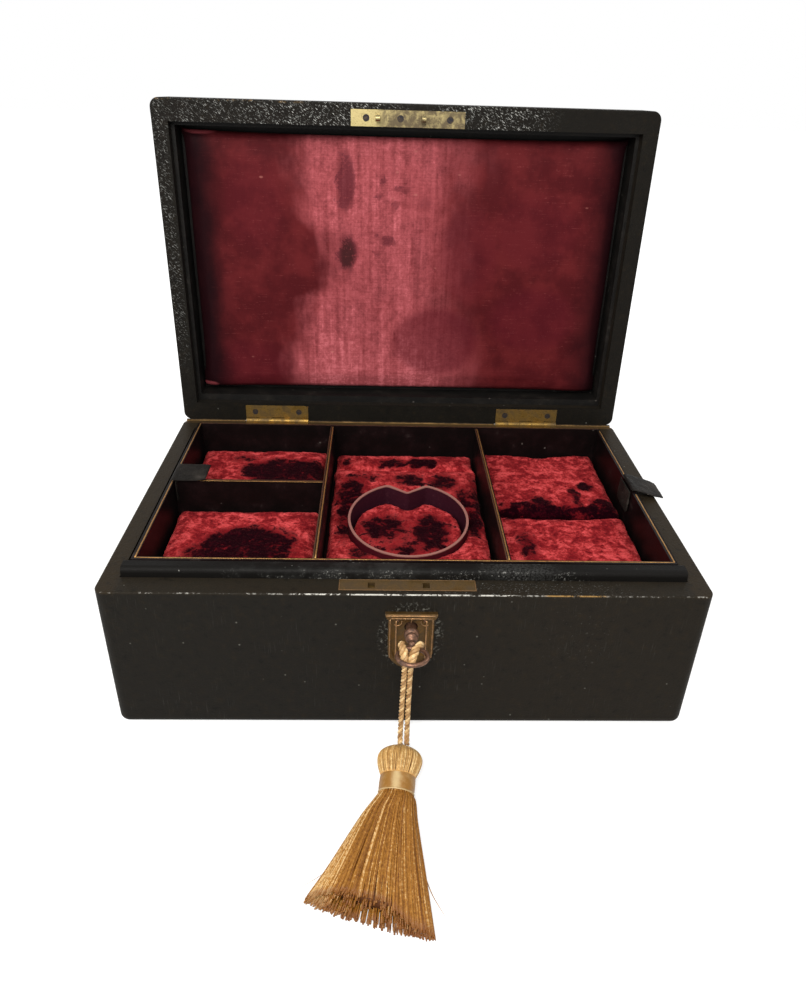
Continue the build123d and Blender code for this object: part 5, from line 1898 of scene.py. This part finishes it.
@dataclass
class Studio:
    """The camera at the photograph's place, three soft lamps, a white surround and a pale floor."""

    place: Triple = (-0.014006, -0.370248, 0.290105)
    pitch: float = 29.985
    yaw: float = 2.156
    roll: float = 1.777
    lens: float = 27.764
    sensor: float = 36
    clip: tuple[float, float] = (0.01, 20)
    lamps: tuple[tuple[str, Triple, Triple, float, float, Rgb], ...] = (
        ("front", (-0.10, -0.62, 0.62), (0, 0.0, 0.1), 0.35, 6.6, (1.0, 0.97, 0.92)),
        ("left", (-0.9, -0.5, 0.9), (0, 0, 0.08), 0.9, 6.0, (1.0, 0.98, 0.96)),
        ("right", (0.9, 0.2, 1.0), (0, 0, 0.08), 0.9, 4.4, (0.97, 0.98, 1.0)),
    )
    fill: float = 0.36
    fill_colour: Rgb = (1, 0.98, 0.95)
    floor_glow: float = 0.66
    floor_middle: float = -60
    floor_half: float = 4.0
    white_from: tuple[float, float] = (220, 620)

    def camera(self) -> None:
        """Put the camera where the photograph was taken from."""
        pitch, yaw, roll = (math.radians(angle) for angle in (self.pitch, self.yaw, self.roll))
        ahead = Vector((math.sin(yaw) * math.cos(pitch), math.cos(yaw) * math.cos(pitch), -math.sin(pitch)))
        level = Vector((math.cos(yaw), -math.sin(yaw), 0))
        above = level.cross(ahead)
        right = level * math.cos(roll) + above * math.sin(roll)
        up = above * math.cos(roll) - level * math.sin(roll)
        data = bpy.data.cameras.new("camera")
        data.lens = self.lens
        data.sensor_width = self.sensor
        data.clip_start, data.clip_end = self.clip
        made = bpy.data.objects.new("camera", data)
        bpy.context.scene.collection.objects.link(made)
        turn = Matrix((right, up, -ahead)).transposed().to_4x4()
        made.matrix_world = Matrix.Translation(Vector(self.place)) @ turn
        bpy.context.scene.camera = made

    def lamp(self, name: str, place: Triple, aim: Triple, size: float, power: float, colour: Rgb) -> None:
        """Add one soft square lamp.

        Args:
            name: Its name.
            place: Where it is, in metres.
            aim: What it points at.
            size: Its side, in metres.
            power: Its power, in watts.
            colour: Its colour.
        """
        data = bpy.data.lights.new(name, "AREA")
        data.shape = "SQUARE"
        data.size = size
        data.energy = power
        data.color = colour
        made = bpy.data.objects.new(name, data)
        bpy.context.scene.collection.objects.link(made)
        made.location = place
        made.rotation_mode = "QUATERNION"
        made.rotation_quaternion = (Vector(aim) - Vector(place)).to_track_quat("-Z", "Y")

    def world(self) -> None:
        """A white surround for the camera and reflections, and a dimmer one as fill light."""
        graph = Graph("surround", bpy.data.worlds.new("surround"))
        dim, white = (
            graph.node("ShaderNodeBackground", None, {"Color": colour, "Strength": strength})
            for colour, strength in ((self.fill_colour, self.fill), ((1, 1, 1), 1.0))
        )
        rays = {0: graph.seen_straight(), 1: dim.outputs[0], 2: white.outputs[0]}
        both = graph.node("ShaderNodeMixShader", None, rays)
        graph.node("ShaderNodeOutputWorld", None, {0: both.outputs[0]})
        bpy.context.scene.world = graph.material

    def floor(self) -> None:
        """A pale floor that keeps the shadow and otherwise shows white."""
        graph = Graph("floor")
        x, y, _ = graph.place()
        near, far = self.white_from
        far_out = (x * x + (y - self.floor_middle) * (y - self.floor_middle)).rise(near**2, far**2)
        glow = graph.seen_straight() * (self.floor_glow + far_out * (1 - self.floor_glow))
        matt = graph.node("ShaderNodeBsdfDiffuse", None, {"Color": (0.5, 0.5, 0.5)})
        light = graph.node("ShaderNodeEmission", None, {"Color": (1.0, 1.0, 1.0), "Strength": glow})
        both = graph.node("ShaderNodeAddShader", None, {0: matt.outputs[0], 1: light.outputs[0]})
        graph.node("ShaderNodeOutputMaterial", None, {0: both.outputs[0]})
        corners = [Vector((x, y, 0)) * self.floor_half for x, y in ((-1, -1), (1, -1), (1, 1), (-1, 1))]
        made = mesh_object("floor", corners, [(0, 1, 2, 3)], graph.material)

    def build(self) -> None:
        """Set up camera, lamps, surround, floor and colour handling."""
        self.camera()
        for lamp in self.lamps:
            self.lamp(*lamp)
        self.world()
        self.floor()
        bpy.context.scene.view_settings.view_transform = "Standard"


@dataclass
class Fittings:
    """The finishes of the CAD nodes that are shown as they are."""

    nodes: dict[str, bpy.types.Object]
    finishes: dict[str, bpy.types.Material]
    names: tuple[tuple[str, str], ...] = (
        ("base_leather_cover", "base"), ("lid_leather_cover", "lid"), ("front_lip_board", "lip"),
        ("tray_", "tray"), ("bracelet_ring", "ring"), ("lid_lining_strips", "lining"),
        # lid_top_board takes the dark lining finish so that the gap round the silk shows as painted shade.
        ("base_underside_panel", "cloth"), ("well_ledge_boards", "paper"), ("lid_top_board", "lining"),
        ("base_front_board", "paper"), ("base_back_board", "paper"), ("base_left_board", "paper"),
        ("base_right_board", "paper"), ("base_bottom_board", "paper"),
        ("_board", "pine"),
        ("escutcheon_plate", "escutcheon"), ("escutcheon_pins", "bronze"), ("key", "bronze"),
        ("link_plate_screws", "dark_screws"), ("link_plate", "link"), ("hinge_base_screws", "dark_screws"),
        ("hinge_lid_screws", "dark_screws"), ("hinge_pins", "hinge"), ("hinge_", "hinge"),
        ("lock_selvedge", "selvedge"), ("lock_case", "lock"), ("lock_cap", "lock"), ("lock_bolt", "lock"),
        ("lock_", "steel"),
    )

    def finish_of(self, node: str) -> str:
        """The name of the finish that a node takes, the cloth's for a replaced one, which isn't seen."""
        for part, finish in self.names:
            begins = part.endswith("_") and node.startswith(part)
            ends = part.startswith("_") and node.endswith(part)
            if node == part or begins or ends:
                return finish
        return "cloth"

    def dress(self) -> None:
        """Give each CAD node its finish."""
        for name, node in self.nodes.items():
            finish = self.finish_of(name)
            node.data.materials.clear()
            node.data.materials.append(self.finishes[finish])
            LOG.info("%s takes %s", name, finish)


def case_finishes() -> dict[str, bpy.types.Material]:
    """Every finish of the shown CAD nodes, by name."""
    made: dict[str, Any] = {
        "base": CaseLeather(Cover.BASE),
        "lid": CaseLeather(Cover.LID, rim=tone(23, 21, 18)),
        "lip": LipLeather(),
        "tray": SmoothLeather("tray_leather", tone(11, 7, 7), tone(26, 14, 15), 0.34, 0.08, 0.35, 5.0, 0.1),
        "ring": RingStrip(),
        "lining": SmoothLeather("lining_leather", tone(16, 15, 14), tone(30, 27, 24), 0.45, 0.1, 0.25, 5.0),
        "cloth": PlainFinish(
            "underside_cloth", tone(46, 46, 50), tone(30, 30, 34), grain=0.8, roughness=0.85
        ),
        "paper": PlainFinish(
            "lining_paper", tone(92, 28, 34), tone(66, 18, 24), grain=4.0, roughness=0.8, relief=0.05
        ),
        "pine": PlainFinish(
            "pine", tone(196, 160, 110), tone(158, 112, 66), (14, 1, 1), 2.4, roughness=0.65, relief=0.12
        ),
        "escutcheon": AgedMetal("escutcheon_bronze", tone(106, 78, 40), tone(66, 50, 28), 0.5, 5.0, 0.4),
        "bronze": AgedMetal("bronze", tone(134, 98, 78), tone(68, 50, 40), 0.5, 2.4, 0.34),
        "dark_screws": AgedMetal("dark_screws", tone(88, 74, 52), tone(28, 26, 34), 0.7, 1.4, 0.42),
        "link": AgedMetal(
            "link_brass",
            tone(162, 148, 104),
            tone(84, 72, 50),
            dull_share=0.66,
            grain=4.0,
            roughness=0.32,
            # The bright patch is a painted highlight.
            bright=Spot(-25, -86, 9, 30, 1.0, 0.5),
        ),
        "hinge": AgedMetal("hinge_brass", tone(150, 118, 58), tone(82, 64, 34), 0.55, 7.0, 0.34),
        "selvedge": AgedMetal("selvedge_bronze", tone(112, 88, 52), tone(74, 58, 36), 0.55, 9.0, 0.4),
        "lock": AgedMetal("lock_brass", tone(136, 108, 58), tone(84, 66, 40), 0.5, 5.0, 0.4),
        "steel": PlainFinish(
            "spring_steel",
            tone(140, 140, 142),
            tone(104, 104, 108),
            (8, 1, 1),
            grain=2.0,
            roughness=0.35,
            metallic=1.0,
            relief=0.03,
        ),
    }
    return {name: finish.material() for name, finish in made.items()}


def silks() -> list[bpy.types.Material]:
    """The silk of the tassel's head, the cord, the skirt's threads, the band, and the dark core that stands
    for painted shade.
    """
    finishes = (
        SilkThread("head_thread", tone(228, 188, 120), tone(158, 114, 60), tone(200, 150, 84), 0.3, 0.5),
        SilkThread("gold_cord", tone(226, 188, 132), tone(136, 98, 58), tone(150, 108, 64), 0.36, 0.4, 2.0),
        SilkThread("tassel_thread", tone(190, 134, 54), tone(104, 60, 16), tone(104, 56, 12), 0.36, 0.32),
        SilkThread("band_satin", tone(255, 244, 196), tone(132, 92, 40), tone(150, 106, 46), 0.3, 0.0, 5.0),
        SilkThread("tassel_core_shade", tone(104, 58, 16), tone(76, 40, 10), tone(70, 36, 8), 0.6, 0.0),
    )
    return [finish.material() for finish in finishes]


def main() -> None:
    """Build the looks of the jewellery box on its frame."""
    logging.basicConfig(level=logging.INFO, format="%(relativeCreated)d ms %(message)s")
    noise.seed_set(NOISE_SEED)
    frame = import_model()
    Studio().build()
    Fittings(frame["nodes"], case_finishes()).dress()

    head_silk, cord_silk, thread, satin, core = silks()
    key_cord = KeyCord()
    cord, line = key_cord.build(cord_silk)
    tassel = Tassel().build(head_silk, thread, satin, core)
    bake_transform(cord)
    LOG.info("cord and tassel made")

    for piece in SoftLinings().build(CrushedVelvet().material(), LidSilk().material()):
        LOG.info("%s made, %d corners", piece.name, len(piece.data.vertices))
    gold = AgedMetal("gilt", tone(176, 134, 80), tone(112, 80, 46), 0.4, 2.0, 0.4).material()
    brown = AgedMetal("brown_gilt", tone(104, 70, 48), tone(58, 36, 28), 0.5, 2.0, 0.5).material()
    GiltLines().build(gold, brown)
    strap = SmoothLeather("strap_leather", tone(25, 23, 21), tone(52, 48, 44), 0.5, 0.3, 0.5, 2.6, 0.06)
    PullStraps().build(strap.material())
    hide = SmoothLeather("worn_hide", tone(112, 86, 50), tone(164, 130, 78), 0.6, 0.2, 0.2, 2.6)
    dark_hide = SmoothLeather("dark_hide", tone(40, 32, 24), tone(96, 74, 46), 0.6, 0.2, 0.2, 2.6)
    WornEdges().build(hide.material(), dark_hide.material())
    borders = AgedMetal("border_bronze", tone(158, 120, 82), tone(84, 66, 44), 0.4, 2.0, 0.36).material()
    PlateBorders().build(borders)
    LOG.info("gilt lines and straps made")


if __name__ == "__main__":
    main()
